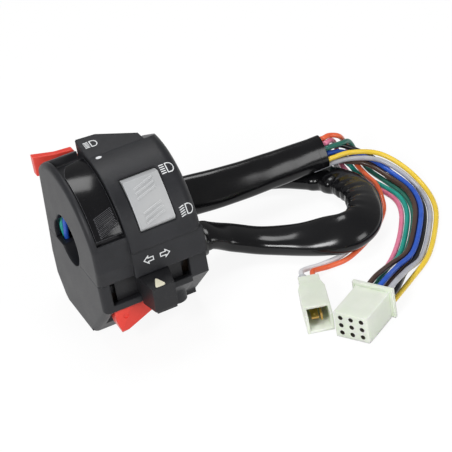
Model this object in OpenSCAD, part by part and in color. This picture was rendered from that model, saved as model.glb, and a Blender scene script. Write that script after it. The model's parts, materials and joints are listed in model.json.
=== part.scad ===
// Left handlebar switch cluster: two shells clamped on the bar, five hand controls, a sleeved cable.
// X runs along the bar towards the cable outlet, -Y faces the rider, Z is up, and the bar axis is the X axis.

/* [Bar clamp] */
// Diameter of the handlebar
bar_d = 22.2; // [20:0.1:24]
// Width of the housing along the bar
housing_w = 46; // [45:0.5:50]
// Depth of the parting plane below the bar axis
parting_drop = 7; // [6:0.25:8]
// Wall thickness of the shells
wall = 2.5; // [2:0.1:3]
// Thickness of the end walls that grip the bar
end_wall = 2.2; // [2:0.1:3]

/* [Housing outline] */
// Radius of the drum face about the bar axis
drum_r = 33.5; // [32.5:0.25:35]
// Step from the drum face down to the choke side
drum_step = 1; // [0.5:0.1:1.5]
// Height of the arrow panel's upper edge above the bar axis
panel_top = 5; // [3:0.5:7]
// Step from the drum face in to the arrow panel
panel_step = 1.5; // [1:0.1:2]
// Distance of the back wall behind the bar axis, at the parting plane
back_y = 25; // [24:0.5:28]
// Distance of the back wall behind the bar axis, at its top
back_top_y = 20.5; // [19.5:0.5:21.5]
// Height of the back wall's top above the bar axis
back_top_z = 21; // [20:0.5:22]
// Step from the drum face in to the lower front wall
front_step = 4; // [3:0.25:4.5]
// Depth of the flat bottom below the bar axis
bottom_drop = 41; // [40:0.5:45]
// Depth at which the lower front starts to slope back
knee_drop = 20; // [19.5:0.25:21]
// Bulge of the lower back wall behind the parting plane's edge
back_bulge = 2.5; // [1:0.5:4]
// Rounding of the drum's edge at the cable end
drum_round = 5; // [3:0.5:6]
// Rounding of the housing's left front edge
rim_round = 2.4; // [1:0.1:2.4]

/* [Hood] */
// Rise of the hood's face towards the back, in degrees
hood_tilt = 9; // [6:1:12]
// Depth of the hood behind the bar axis
hood_y = 12; // [10:0.5:14]

/* [Housing screws] */
// Thread diameter of the housing screws
screw_d = 4; // [3:0.5:5]
// Diameter of the screw heads
screw_head_d = 7; // [6:0.25:8]
// Height of the screw heads
screw_head_h = 2.6; // [2:0.1:3.5]
// Diameter of the screw bosses
boss_d = 9; // [9:0.25:10]
// Distance of the screws from the bar axis
screw_y = 17; // [16.5:0.25:18]

/* [Choke lever] */
// Width of the rim left of the choke track
rim_w = 2.5; // [2:0.1:3]
// Width of the choke track
track_w = 12.4; // [12:0.2:14]
// Depth of the choke track below the choke side's face
track_depth = 3.5; // [3:0.1:4]
// Side gap between the choke lever and its track
track_gap = 0.5; // [0.3:0.1:1]
// Thickness of the choke lever
choke_t = 2.6; // [2:0.1:3]
// Angle of the choke lever's low end above the front
choke_low = 25; // [24:0.5:28]
// Angle that the choke lever covers
choke_span = 71; // [66:0.5:72]
// Travel of the choke lever, in degrees
choke_travel = 14; // [8:1:14]
// Ribs on the choke lever
choke_ribs = 7; // [5:1:8]

/* [Dip rocker] */
// Width of the rocker
rocker_w = 15; // [13:0.25:16]
// Length of the rocker
rocker_l = 20; // [18:0.5:21]
// Place of the rocker along the bar
rocker_x = 5.5; // [4.5:0.25:6.5]
// Angle of the rocker's middle above the front
rocker_angle = 40.5; // [39:0.5:42]
// Height of the rocker's face above the drum
rocker_proud = 0.8; // [0.5:0.1:1.5]
// Depth of the rocker's pivot below the drum face
rocker_pivot = 6.5; // [6:0.25:7]
// Tilt between the rocker's two rest positions, in degrees
rocker_throw = 10; // [6:1:12]

/* [Turn switch] */
// Place of the turn switch along the bar
turn_x = -1.5; // [-2:0.1:-1]
// Width of the turn slot
slot_w = 34; // [30:0.5:35]
// Height of the turn slot
slot_h = 10.3; // [9.5:0.1:10.6]
// Width of the turn knob at the slot
knob_w = 12.8; // [11:0.2:14]
// Reach of the turn knob ahead of the front wall
knob_reach = 10.5; // [8:0.5:12]
// Travel of the turn knob to each side
turn_travel = 4; // [3:0.25:4.5]

/* [Horn and pass levers] */
// Length of the horn lever
horn_l = 21.5; // [20:0.25:22]
// Depth of the horn lever's lower edge below the bar axis
horn_drop = 31.6; // [30:0.2:33]
// Height of the pass lever
pass_h = 9; // [8:0.25:10]
// Height of the pass lever's lower edge above the bar axis
pass_z = 15; // [14.5:0.25:15.5]
// Diameter of the lever pivot pins
pin_d = 2.4; // [2:0.1:2.6]

/* [Cable] */
// Width of the flattened sleeve
sleeve_w = 14.6; // [12:0.2:16]
// Thickness of the flattened sleeve
sleeve_t = 9; // [8:0.2:10]
// Length of the boot outside the housing
boot_l = 11; // [9:0.5:13]
// Diameter of each wire
wire_d = 2.2; // [1.6:0.1:2.3]

/* [Connectors] */
// Width of the nine-way connector
nine_w = 15; // [14.5:0.25:17]
// Height of the nine-way connector
nine_h = 12; // [11.5:0.25:14]
// Length of the nine-way connector
nine_l = 20; // [16:0.5:24]
// Bore of the nine-way connector's ways
way_d = 2.8; // [2.6:0.1:3]
// Width of the two-way connector
two_w = 11; // [10:0.25:13]
// Height of the two-way connector
two_h = 8.4; // [8:0.2:10]
// Length of the two-way connector
two_l = 24; // [22:0.5:28]
// Wall of the two-way connector's mouth
two_wall = 1.2; // [1:0.1:1.4]

/* [Hidden] */
$fn = 96;

// Small lengths used in cuts and fits
eps = 0.01;
big = 60;
fit = 0.05;
run = 0.3;
slide = 0.4;

// Places that follow from the sizes above
bar_r = bar_d / 2;
hw = housing_w / 2;
part_z = -parting_drop;
bottom_z = -bottom_drop;
choke_r = drum_r - drum_step;
front_y = drum_r - front_step;
panel_y = -drum_r + panel_step;
choke_front_y = -choke_r + drum_step + 0.5;
drum_x = -hw + rim_w + track_w;
floor_r = choke_r - track_depth;
inner_r = floor_r - wall;
crest_y = -2;
track_end = choke_low + choke_span + choke_travel + 2.5;
chamfer = 1.5;
cavity_x0 = -hw + end_wall;
cavity_x1 = hw - end_wall;
relief_y = 5;
relief_z = -5;

// Housing screws: one behind the bar, one ahead of it
screw_places = [[-8, screw_y, bottom_z], [11.7, -screw_y + 1, -34.6]];
screw_seat_z = -20;
screw_top_z = -0.5;

// Dip rocker
rocker_end_r = norm([rocker_l / 2, rocker_pivot]) - 0.4;
rocker_pin_r = drum_r - rocker_pivot;
ear_t = 1.8;
rocker_bow = 60;
rib_proud = 0.4;
ear_r0 = rocker_pin_r - 7;
base_t = 2.5;

// Turn switch, from the front wall inwards
sill_z = part_z - slot_h;
pocket_w = slot_w + 3.4;
pocket_floor_z = sill_z - 1.2;
pocket_y0 = -front_y + wall;
carriage_t = 1.5;
carriage_y0 = pocket_y0 + run;
wiper_t = 1;
contact_t = 0.4;
turn_base_t = 2.4;
turn_base_y0 = carriage_y0 + carriage_t + wiper_t + contact_t + 0.2;
pocket_y1 = turn_base_y0 + turn_base_t;
carriage_w = pocket_w - 2 * turn_travel - 2 * slide;
knob_x = turn_x + 1.2;
skirt_in = 3.6;

// Horn pocket below the turn switch
horn_top_z = pocket_floor_z - 2;
horn_back_y = pocket_y1 + 5;
cavity_y0 = horn_back_y + wall;
horn_pivot = [3, horn_back_y - 3.5];
horn_x0 = horn_pivot[0] - horn_l;
horn_hub_r = 2.7;
horn_lug_z = -27.4;
horn_spring_x = -8;
horn_gap = 1.2;
lip_x = 15.7;
lip_cut = 2;

// Pass pod on the back wall
pass_pivot = [7, 24];
pass_hub_r = 3.1;
pass_hub_h = 4.4;
pod = [-2, 12];
pod_z0 = pass_z - 2.6;
pod_z1 = pass_z + 7.5;
pod_y1 = pass_pivot[1] + 2.6;
pod_slot_y = back_top_y;

// Cable boot in the outlet end
boot_x = hw + boot_l;
boot_y = 5;
boot_z = bottom_z + 15;
boot_r0 = 9;
boot_r1 = sleeve_w / 2 + 0.4;
boot_neck_r = 7.2;

// Connectors on the resting surface
nine_place = [77, -66, bottom_z];
nine_yaw = 33;
way_pitch = [nine_w * 0.31, nine_h * 0.3];
terminal_back = 4;
nine_flange = 1.6;
nine_flange_t = 1.6;
way_mouth_d = 2;
two_place = [60, -42, bottom_z];
two_yaw = 71.5;
two_pitch = 4.4;
two_neck = [8.6, 6.4, 6];
two_back = 6;
two_shoulder = 4;
two_open = 6.5;
blade = [0.8, 3, two_l - two_back - 4.5];
blade_y = 1.3;

// Cable sleeve: x, y, height above the surface, roll of its flat side in degrees, share of its width
mouth_x = 104;
sleeve_route = [
    [boot_x, boot_y, 15, -10, 1], [boot_x + 1.5, boot_y, 15, -10, 1], [boot_x + 3, boot_y, 15, -10, 1],
    [46, 5, 10, -5, 1], [58, 0, 6, 0, 1],
    [70, -9, 6.2, -15, 1.05], [80, -17.5, 8.3, -35, 1.15], [88, -22, 9.5, -40, 1.15], [96, -20, 10, -30, 1.1],
    [102, -12, 10, -20, 1], [106, 0, 8.5, -10, 1], [107, 12, 6.5, -5, 1], [104, 23, 5, 0, 1],
    [97, 33, 4.7, 0, 1],
    [87, 42, 4.7, 0, 1], [72, 49, 4.7, 0, 1], [54, 54, 4.7, 0, 1], [36, 58, 5, 0, 1], [20, 63, 5, 0, 1],
    [7, 66, 6, 0, 1], [-4, 62, 9, 0, 1], [-5, 52, 12, 20, 1], [4, 45, 14, 60, 1.1], [20, 40, 16, 100, 1.2],
    [40, 34.5, 17, 120, 1.2], [60, 31, 17, 120, 1.15], [82, 29.5, 17, 120, 1.05],
    [mouth_x - 6, 29, 17, 120, 1],
    [mouth_x - 3, 29, 17, 120, 1], [mouth_x, 29, 17, 120, 1]
];

// Middle of the nine wires' lanes on the surface, and where the lanes gather for the connector
lane_mid = [[127.9, -2], [124.2, -16], [115, -31], [105, -43], [94.5, -51.5]];
gather_out = [0.586, -0.81];
lane_h = 1.2;

// Wires from the sleeve's mouth to the bend: x, y, height above the surface
mouth_run = 2.5;
yellow_bend = [[115, 24.6, 14], [126, 21, 11], [132.5, 11, 6.7]];
grey_bend = [[114.5, 23.6, 11.6], [124.8, 19.4, 9], [130.7, 10.3, 5.1]];
black_bend = [[114.5, 31.8, 14.2], [125.3, 25, 6.9], [129.2, 12, 2]];
rust_bend = [[112.8, 29.6, 9.8], [123.2, 24.4, 5.6], [126.8, 11.5, 1.4]];
green_bend = [[113.5, 29.4, 17], [118.6, 32.6, 14], [121.4, 32, 6.5], [122.4, 25, 2.1], [124.4, 11.5, 1.3]];
blue_bend = [[113.5, 29, 12.6], [123.2, 23.6, 7.9], [127.8, 11.5, 4.4]];
brown_bend = [[112.5, 27, 9.2], [120.8, 22.5, 6.8], [125.6, 10.5, 3.8]];
teal_bend = [[110.5, 33.3, 10.5], [114, 32.6, 7], [116.6, 30.5, 3.6], [117.4, 26, 1.7], [119.6, 18, 1.2],
    [121.6, 9.5, 1.2]];
pink_bend = [[110.8, 33.2, 17.7], [113.6, 36.2, 12], [113.6, 34.2, 5], [114.3, 27, 1.8], [116.6, 18, 1.2],
    [119.1, 9.3, 1.2]];
orange_bend = [[109.8, 32.6, 20.9], [114.2, 32.6, 18.7], [117.8, 36, 12.5], [118.8, 34.8, 8], [118.5, 28, 4.8],
    [118, 17.5, 4.4], [117.4, 8.5, 5.2], [115.4, 0, 4.4], [112, -7.5, 1.6], [101, -18.5, 1.2],
    [85.5, -27.5, 1.2], [76, -28.7, 1.5], [69.8, -29.3, 2.7], [66.7, -30.5, 3.8]];
white_bend = [[109.2, 35.8, 15], [111, 35.3, 6.5], [111.4, 28.5, 2], [112.2, 18.5, 1.2], [112.9, 9.5, 1.2],
    [110, -1.5, 1.2], [99, -15.5, 1.2], [84.5, -24, 1.2], [73, -25.3, 1.4], [66.2, -26.2, 2.7],
    [62.7, -28, 3.9]];

// Leads inside the housing, from the boot up behind the bar to the pass switch
inner_x = cavity_x1 + 0.2;
inner_left = cavity_x0 + 1.6;
inner_about = [1, -1, 0.6];
inner_y = pod_slot_y - wall;
inner_teal_route = [
    [inner_x, 5, boot_z + 3], [inner_x - 1.5, 5, boot_z + 3], [inner_x - 3, 5, boot_z + 3],
    [11, 6, boot_z + 1], [2, 8, -28],
    [-10, 10, -28], [inner_left + 2.2, 13, -20], [inner_left, 15.6, -8], [inner_left, 15.8, 1],
    [inner_left + 5.2, 15.5, 9],
    [-5, inner_y - 3.5, 13.2], [-1.8, inner_y - 3.7, 14.6], [0, inner_y - 2.6, 15], [0, inner_y - 1.3, 15],
    [0, inner_y, 15]
];
inner_blue_route = [
    [inner_x, 2.5, boot_z], [inner_x - 1.5, 2.5, boot_z], [inner_x - 3, 2.5, boot_z],
    [11, 3.2, boot_z - 2], [2, 5, -31],
    [-10, 7, -31], [inner_left + 2.7, 10, -23], [inner_left, 13.2, -10], [inner_left, 13.2, -3],
    [inner_left + 1.7, 13, 5],
    [-10, 12.4, 12.6], [-2, 12.2, 17.4], [2.2, inner_y - 4.4, 18.7], [4, inner_y - 2.6, 19],
    [4, inner_y - 1.3, 19],
    [4, inner_y, 19]
];
inner_orange_route = [
    [inner_x, 7.5, boot_z], [inner_x - 1.5, 7.5, boot_z], [inner_x - 3, 7.5, boot_z],
    [11, 8.6, boot_z - 2], [2, 10.4, -31],
    [-9, 11, -31], [inner_left + 0.9, 16, -20], [inner_left, 18.2, -9], [inner_left, 18.4, 0],
    [inner_left + 4.2, 17.6, 7.5],
    [-8, 16.5, 9.5], [0, 14.4, 10.2], [4.3, inner_y - 4.2, 12.8], [6, inner_y - 2.6, 13.8],
    [6, inner_y - 1.3, 13.8],
    [6, inner_y, 13.8]
];

// Extrudes a Y-Z outline along the bar from x0 to x1
module along_x(x0, x1) {
    translate([x0, 0, 0]) rotate([90, 0, 90]) linear_extrude(x1 - x0) children();
}

// Puts children on a cylinder about the bar: X along the bar, Y up round it, Z outwards
module on_drum(angle, r) {
    rotate([90 - angle, 0, 0]) translate([0, 0, r]) children();
}

// Cylinder along the bar through a Y-Z place
module bar_cylinder(x0, x1, r, y = 0, z = 0) {
    translate([x0, y, z]) rotate([0, 90, 0]) cylinder(r = r, h = x1 - x0);
}

// Box between two corners
module box(a, b) {
    translate(a) cube(b - a);
}

// Sector of a ring about the bar, from angle a0 to a1 above the front
module ring_sector(x0, x1, r0, r1, a0, a1) {
    intersection() {
        difference() {
            bar_cylinder(x0, x1, r1);
            bar_cylinder(x0 - 1, x1 + 1, r0);
        }
        along_x(x0 - 1, x1 + 1) polygon(concat([[0, 0]], [
            for (a = [a0 : (a1 - a0) / 4 : a1 + eps]) 2 * r1 * [-cos(a), sin(a)]
        ]));
    }
}

// Height of the sloped back of the upper shell at a place behind the bar axis
function back_slope(y) = drum_r - (y - crest_y) * (drum_r - back_top_z) / (back_top_y - crest_y);

// Y-Z limits of the upper shell at its back and parting plane, moved in by inset
module upper_limits(inset) {
    drop = 1.15 * inset;
    floor_z = part_z - (inset > 0 ? 1 : 0);
    polygon([
        [-big, floor_z], [back_y - inset, floor_z],
        [back_top_y - inset, back_slope(back_top_y - inset) - drop], [crest_y, drum_r - drop],
        [crest_y, big], [-big, big]
    ]);
}

// Y-Z outline of the upper shell with face radius r, moved in by inset
module upper_outline(r, inset) {
    intersection() {
        circle(r = r - inset);
        upper_limits(inset);
    }
}

// Distance of the back wall behind the bar axis at a height
function back_wall(z) = back_y - (z - part_z) * (back_y - back_top_y) / (back_top_z - part_z);

// Y-Z outline of the choke side, moved in by inset
module choke_outline(inset) {
    floor_z = part_z - (inset > 0 ? 1 : 0);
    intersection() {
        circle(r = choke_r - inset);
        polygon([[-big, floor_z], [back_wall(floor_z) - inset, floor_z], [back_wall(big) - inset, big],
            [-big, big]]);
    }
}

// Cuts a rounded edge at the left end: from a Y-Z place upwards, tilted towards the front
module left_edge(y, z, tilt, length) {
    translate([-hw, y, z]) rotate([tilt, 0, 0]) difference() {
        box([-1, -1, -1], [rim_round, rim_round, length + 1]);
        translate([rim_round, rim_round, -2]) cylinder(r = rim_round, h = length + 4);
    }
}

// Drum about the bar with its edge at x1 rounded
module drum(x0, x1, r, round) {
    translate([x0, 0, 0]) rotate([0, 90, 0]) rotate_extrude() {
        square([r - round, x1 - x0]);
        square([r, x1 - x0 - round]);
        intersection() {
            translate([r - round, x1 - x0 - round]) circle(r = round);
            square([r, x1 - x0]);
        }
    }
}

// Y-Z outline of the lower shell, moved in by inset
module lower_outline(inset) {
    y1 = back_y + back_bulge - inset;
    z0 = bottom_z + inset;
    polygon([
        [back_y - inset, part_z + (inset > 0 ? 1 : 0)], [y1, -20], [y1, -31], [y1 - 5.5, z0 + 1.5],
        [y1 - 8, z0],
        [-front_y + bottom_drop - knee_drop + inset * 0.4, z0], [-front_y + inset, -knee_drop + inset * 0.4],
        [-front_y + inset, part_z + (inset > 0 ? 1 : 0)]
    ]);
}

// Raised hood behind the drum's crest
module hood() {
    intersection() {
        translate([0, 0, back_top_z]) linear_extrude(drum_r) polygon([
            [drum_x, -4], [drum_x, hood_y - 0.6], [drum_x + 0.6, hood_y], [0.5, hood_y - 0.8], [15.5, 3],
            [16.5, -4]
        ]);
        along_x(-hw, hw) polygon([
            [-4, 0], [-4, drum_r - 4 * tan(hood_tilt)], [hood_y, drum_r + hood_y * tan(hood_tilt)],
            [hood_y, 0]
        ]);
    }
}

// Window cut for the rocker, round its pivot, with its ears' inner faces as sides
module rocker_window() {
    half = rocker_w / 2 + run;
    on_drum(rocker_angle, rocker_pin_r) intersection() {
        bar_cylinder(rocker_x - half, rocker_x + half, rocker_end_r + slide);
        box([-big, -big, -3], [big, big, big]);
    }
}

// Ears inside the drum that carry the rocker's pin and the contact base
module rocker_ears() {
    for (side = [-1, 1]) {
        x = rocker_x + side * (rocker_w / 2 + run + ear_t / 2);
        intersection() {
            on_drum(rocker_angle, 0) box([x - ear_t / 2, -6, ear_r0], [x + ear_t / 2, 6, drum_r]);
            bar_cylinder(-hw, hw, drum_r - 1);
        }
    }
}

// Screw boss in the upper shell, tied to the nearest wall
module upper_bosses() {
    for (p = screw_places) translate([p[0], p[1], part_z]) cylinder(d = boss_d, h = screw_top_z + 3 - part_z);
    box([screw_places[1][0], screw_places[1][1] - 1.5, part_z],
        [cavity_x1 + 1, screw_places[1][1] + 1.5, screw_top_z]);
}

module upper_shell() {
    color("#2b2c2f") difference() {
        union() {
            difference() {
                union() {
                    intersection() {
                        drum(drum_x, hw, drum_r, drum_round);
                        along_x(drum_x, hw) upper_limits(0);
                    }
                    box([drum_x, panel_y, part_z], [hw, panel_y + drum_round + 3, panel_top]);
                    intersection() {
                        mirror([1, 0, 0]) drum(-drum_x, hw, choke_r, rim_round);
                        along_x(-hw, drum_x) choke_outline(0);
                    }
                    hood();
                    box([pod[0], 10, pod_z0], [pod[1], pod_y1, pod_z1]);
                }
                // hollow, shallower under the choke track
                along_x(drum_x + wall, cavity_x1) upper_outline(drum_r - panel_step, wall);
                intersection() {
                    union() {
                        along_x(cavity_x0, drum_x + wall + eps) upper_outline(choke_r, wall);
                        along_x(cavity_x0, drum_x - wall) choke_outline(wall);
                    }
                    bar_cylinder(cavity_x0 - 1, drum_x + wall + 1, inner_r);
                }
            }
            intersection() {
                union() {
                    rocker_ears();
                    upper_bosses();
                }
                along_x(cavity_x0 - 1, cavity_x1 + 1) upper_outline(drum_r, 1);
            }
            // back wall of the pass pod
            box([pod[0], pod_slot_y - wall, pod_z0], [pod[1], pod_slot_y, pod_z1]);
        }
        // arrow panel and the front of the choke side
        box([drum_x, -big, part_z - 1], [hw + 1, panel_y, panel_top]);
        box([-hw - 1, -big, part_z - 1], [drum_x, choke_front_y, big]);
        along_x(-hw - 1, drum_x) polygon([
            [-big, part_z - 1], [choke_front_y + chamfer, part_z - 1], [choke_front_y + chamfer, part_z],
            [choke_front_y, part_z + parting_drop], [-big, part_z + parting_drop]
        ]);
        left_edge(choke_front_y + chamfer, part_z, atan(chamfer / parting_drop),
            norm([chamfer, parting_drop]));
        left_edge(choke_front_y, part_z + parting_drop, 0,
            sqrt(choke_r * choke_r - choke_front_y * choke_front_y));
        // bar and the relief behind it
        bar_cylinder(-hw - 1, hw + 1, bar_r);
        bar_cylinder(-hw - 1, cavity_x0 + 1, bar_r, relief_y, relief_z);
        // choke track and the slot for its stem
        ring_sector(-hw + rim_w, drum_x, floor_r, big, choke_low - 3.5, track_end);
        ring_sector(choke_x - stem_w / 2 - run, choke_x + stem_w / 2 + run, inner_r - 1, floor_r + 1,
            stem_low - 2, stem_low + stem_span + choke_travel + 2);
        // rocker window and pin
        rocker_window();
        on_drum(rocker_angle, rocker_pin_r) bar_cylinder(rocker_x - rocker_w / 2 - run - ear_t,
            rocker_x + rocker_w / 2 + run + ear_t, pin_d / 2 + fit / 2);
        // pass lever slot and pin
        box([pod[0] - 1, pod_slot_y, pass_z - run], [pod[1] - 1.4, big, pass_z + pass_hub_h + 1.6]);
        translate([pass_pivot[0], pass_pivot[1], pod_z0 + 1]) cylinder(d = pin_d + fit, h = big);
        // screw threads
        for (p = screw_places) translate([p[0], p[1], part_z - 1])
            cylinder(d = screw_d, h = screw_top_z + 1 - part_z);
    }
}

module lower_shell() {
    color("#2f3033") difference() {
        union() {
            difference() {
                along_x(-hw, hw) lower_outline(0);
                intersection() {
                    along_x(cavity_x0, cavity_x1) lower_outline(wall);
                    box([-big, cavity_y0, -big], [big, big, big]);
                }
            }
            intersection() {
                union() {
                    bar_cylinder(-hw, hw, bar_r + wall);
                    for (p = screw_places) translate([p[0], p[1], p[2]])
                        cylinder(d = boss_d, h = bottom_drop);
                }
                box([-hw, -big, bottom_z], [hw, big, part_z]);
            }
        }
        bar_cylinder(-hw - 1, hw + 1, bar_r);
        // screw shanks and heads, from below
        for (p = screw_places) translate([p[0], p[1], bottom_z - 1]) {
            cylinder(d = screw_d + slide, h = bottom_drop);
            cylinder(d = screw_head_d + slide, h = screw_seat_z - bottom_z + 1);
        }
        // turn switch slot and the pocket behind it
        box([turn_x - slot_w / 2, -big, sill_z], [turn_x + slot_w / 2, pocket_y0 + 1, part_z + 1]);
        box([turn_x - pocket_w / 2, pocket_y0, pocket_floor_z],
            [turn_x + pocket_w / 2, pocket_y1, part_z + 1]);
        for (side = [-1, 1]) translate([turn_x + side * turn_screw_x, pocket_y1 - 1, turn_screw_z])
            rotate([-90, 0, 0]) cylinder(d = turn_screw_d, h = 4);
        // horn pocket, its pin and its spring seat
        box([horn_x0 - horn_gap, -big, horn_lug_z], [horn_pivot[0] + 3.2, horn_back_y, horn_top_z]);
        box([horn_x0 - horn_gap, -big, -big], [horn_pivot[0] - 3.2, horn_back_y, horn_top_z]);
        left_edge(-front_y, -knee_drop, 0, knee_drop - parting_drop);
        left_edge(-front_y + bottom_drop - knee_drop, bottom_z, 45, (bottom_drop - knee_drop) * sqrt(2));
        // undercut right of the lip
        along_x(lip_x, hw + 1) polygon([
            [-front_y - 1, -knee_drop + lip_cut + 1],
            [-front_y + bottom_drop - knee_drop, bottom_z + lip_cut],
            [-front_y + bottom_drop - knee_drop, bottom_z - 1], [-big, bottom_z - 1],
            [-big, -knee_drop + lip_cut + 1]
        ]);
        translate([horn_pivot[0], horn_pivot[1], -big]) cylinder(d = pin_d + fit, h = big + horn_top_z + 1.4);
        translate([horn_spring_x, horn_back_y - 1, horn_mid_z]) rotate([-90, 0, 0])
            cylinder(d = 4.4 + fit, h = 2.2);
        // cable outlet
        bar_cylinder(cavity_x1 - 1, hw + 1, boot_neck_r, boot_y, boot_z);
    }
}

module housing_screws() {
    color("silver") for (p = screw_places) translate([p[0], p[1], screw_seat_z]) {
        difference() {
            translate([0, 0, -screw_head_h]) cylinder(d = screw_head_d, h = screw_head_h);
            for (turn = [0, 90]) rotate(turn)
                box([-2, -0.4, -screw_head_h - 1], [2, 0.4, -screw_head_h + 1.2]);
        }
        cylinder(d = screw_d - fit, h = screw_top_z - screw_seat_z - 0.5);
    }
}

module cable_boot() {
    color("#1c1c1e") {
        translate([hw, boot_y, boot_z]) rotate([0, 90, 0]) cylinder(r1 = boot_r0, r2 = boot_r1, h = boot_l);
        bar_cylinder(cavity_x1 + 0.2, hw, boot_neck_r - fit, boot_y, boot_z);
    }
}

// Choke lever sizes
choke_x = -hw + rim_w + track_w / 2;
choke_w = track_w - 2 * track_gap;
choke_r0 = floor_r + run;
stem_w = 4;
stem_low = choke_low + 22;
stem_span = 14;
choke_screw_d = 2.4;
rib_step = 2.2;
rib_low = 4;
rib_tilt = 16;
rib_shift = 0.6;
rib_length = choke_w - 3.2;
choke_taper = 3.2;

module choke_lever() {
    x0 = choke_x - choke_w / 2;
    x1 = choke_x + choke_w / 2;
    y1 = -choke_r * cos(choke_low + choke_span);
    color("#151517") {
        intersection() {
            ring_sector(x0, x1, choke_r0, choke_r0 + choke_t, choke_low, choke_low + choke_span);
            linear_extrude(big) polygon([
                [x0, -big], [x0, y1 - 8.8], [x0 + 1, y1 - 5.5], [x0 + choke_taper, y1 - 1.8], [x1, y1],
                [x1, -big]
            ]);
        }
        for (i = [0 : choke_ribs - 1]) on_drum(choke_low + rib_low + i * rib_step, choke_r0 + choke_t - 0.3)
            translate([choke_x + rib_shift, 0, 0]) rotate(rib_tilt)
                box([-rib_length / 2, -0.35, 0], [rib_length / 2, 0.35, 0.9]);
        difference() {
            ring_sector(choke_x - stem_w / 2, choke_x + stem_w / 2, inner_r - run, choke_r0 + 0.5, stem_low,
                stem_low + stem_span);
            on_drum(stem_low + stem_span / 2, inner_r - 2) translate([choke_x, 0, 0])
                cylinder(d = choke_screw_d, h = 4, $fn = 48);
        }
    }
}

module choke_shoe() {
    color("#d8d4c4") difference() {
        ring_sector(choke_x - stem_w, choke_x + stem_w, inner_r - run - 2, inner_r - run, stem_low - 4,
            stem_low + stem_span + 4);
        on_drum(stem_low + stem_span / 2, 0) translate([choke_x, 0, 0])
            cylinder(d = choke_screw_d, h = inner_r + 1, $fn = 48);
    }
}

module choke_screw() {
    color("silver") on_drum(stem_low + stem_span / 2, inner_r - run - 2) translate([choke_x, 0, 0]) {
        translate([0, 0, -1.7]) cylinder(d = choke_screw_d + 2, h = 1.5, $fn = 48);
        translate([0, 0, -0.5]) cylinder(d = choke_screw_d - fit, h = 4, $fn = 48);
    }
}

// Runs children in the rocker's own frame, tilted to its rest position with the upper end out
module in_rocker() {
    on_drum(rocker_angle, rocker_pin_r) rotate([rocker_throw / 2, 0, 0]) children();
}

module dip_rocker() {
    half = rocker_w / 2;
    face = rocker_pivot + rocker_proud;
    color("#c9cacb") in_rocker() difference() {
        union() {
            intersection() {
                bar_cylinder(rocker_x - half, rocker_x + half, rocker_end_r);
                bar_cylinder(rocker_x - half, rocker_x + half, rocker_bow, 0, face - rocker_bow);
                box([-big, -big, -2.4], [big, big, big]);
            }
            for (end = [-1, 1], i = [0 : 2]) let (y = rocker_l / 2 - 2.9 - 2 * i)
                translate([rocker_x, end * y, face - 1.5])
                    rotate(17) box([-4.4, -0.35, 0], [4.4, 0.35, 1.5 + rib_proud - y * y / (2 * rocker_bow)]);
        }
        bar_cylinder(rocker_x - big, rocker_x + big, pin_d / 2 + fit);
        translate([rocker_x, 0, -2.5 - pin_d]) cylinder(d = 3.2, h = 1 + pin_d, $fn = 48);
        for (side = [-1, 1]) translate([rocker_x, side * 6, -3]) cylinder(d = 5.5, h = 6.5, $fn = 48);
    }
}

module dip_pin() {
    color("silver") on_drum(rocker_angle, rocker_pin_r)
        bar_cylinder(rocker_x - rocker_w / 2 - run - ear_t, rocker_x + rocker_w / 2 + run + ear_t, pin_d / 2);
}

// Plunger under the rocker's lower half, which presses the moving contact
module dip_plunger() {
    color("#b08d3c") in_rocker() translate([rocker_x, -6, -4.2]) {
        cylinder(d = 5.5 - 2 * fit, h = 3, $fn = 48);
        translate([0, 0, -0.8]) cylinder(d = 2.6, h = 1, $fn = 48);
    }
}

module dip_spring() {
    color("silver") in_rocker() translate([rocker_x, -6, -1.2]) difference() {
        cylinder(d = 4.6, h = 4.6, $fn = 48);
        translate([0, 0, -1]) cylinder(d = 3.4, h = 7, $fn = 48);
    }
}

module dip_base() {
    half = rocker_w / 2 + run + ear_t;
    color("#5a3a22") on_drum(rocker_angle, ear_r0 - base_t)
        box([rocker_x - half, -9, 0], [rocker_x + half, 9, base_t]);
}

module dip_contacts() {
    color("#c79b3b") on_drum(rocker_angle, ear_r0)
        for (y = [-7.5, -4.5, 3]) box([rocker_x - 5, y, 0], [rocker_x + 5, y + 2, 0.6]);
}

// Turn switch screw places
turn_screw_d = 2;
turn_screw_x = 14.6;
turn_screw_z = pocket_floor_z + 5.5;

module turn_knob() {
    y0 = carriage_y0;
    y1 = -front_y - knob_reach;
    y2 = -front_y - 0.8;
    top = part_z - 0.6;
    neck = sill_z + slide;
    half = knob_w / 2;
    color("#2a2b2d") translate([knob_x, 0, 0]) {
        intersection() {
            along_x(-half, half) polygon([
                [y0, top], [y2, top], [y1, top - 2], [y1 + 0.6, neck - 3.6], [y2, neck - 3.6], [y2, neck],
                [y0, neck]
            ]);
            translate([0, 0, -big]) linear_extrude(big) polygon([
                [-half, 0], [-half, y2 - 1], [-half + 1.6, y1], [half - 1.6, y1], [half, y2 - 1], [half, 0]
            ]);
        }
        along_x(-half + skirt_in, half - 0.6) polygon([
            [y2 - 6, neck - 3.5], [y2 - 4.4, neck - 8], [y2, neck - 8], [y2, neck - 3.5]
        ]);
    }
}

module turn_carriage() {
    color("#38393b") translate([turn_x, 0, 0])
        box([-carriage_w / 2, carriage_y0, pocket_floor_z + run],
            [carriage_w / 2, carriage_y0 + carriage_t, part_z - run]);
}

module turn_wiper() {
    y = carriage_y0 + carriage_t;
    color("#c79b3b") translate([turn_x, 0, 0]) for (z = [part_z - 3, pocket_floor_z + 3])
        box([-4, y, z - 1], [4, y + wiper_t, z + 1]);
}

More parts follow.
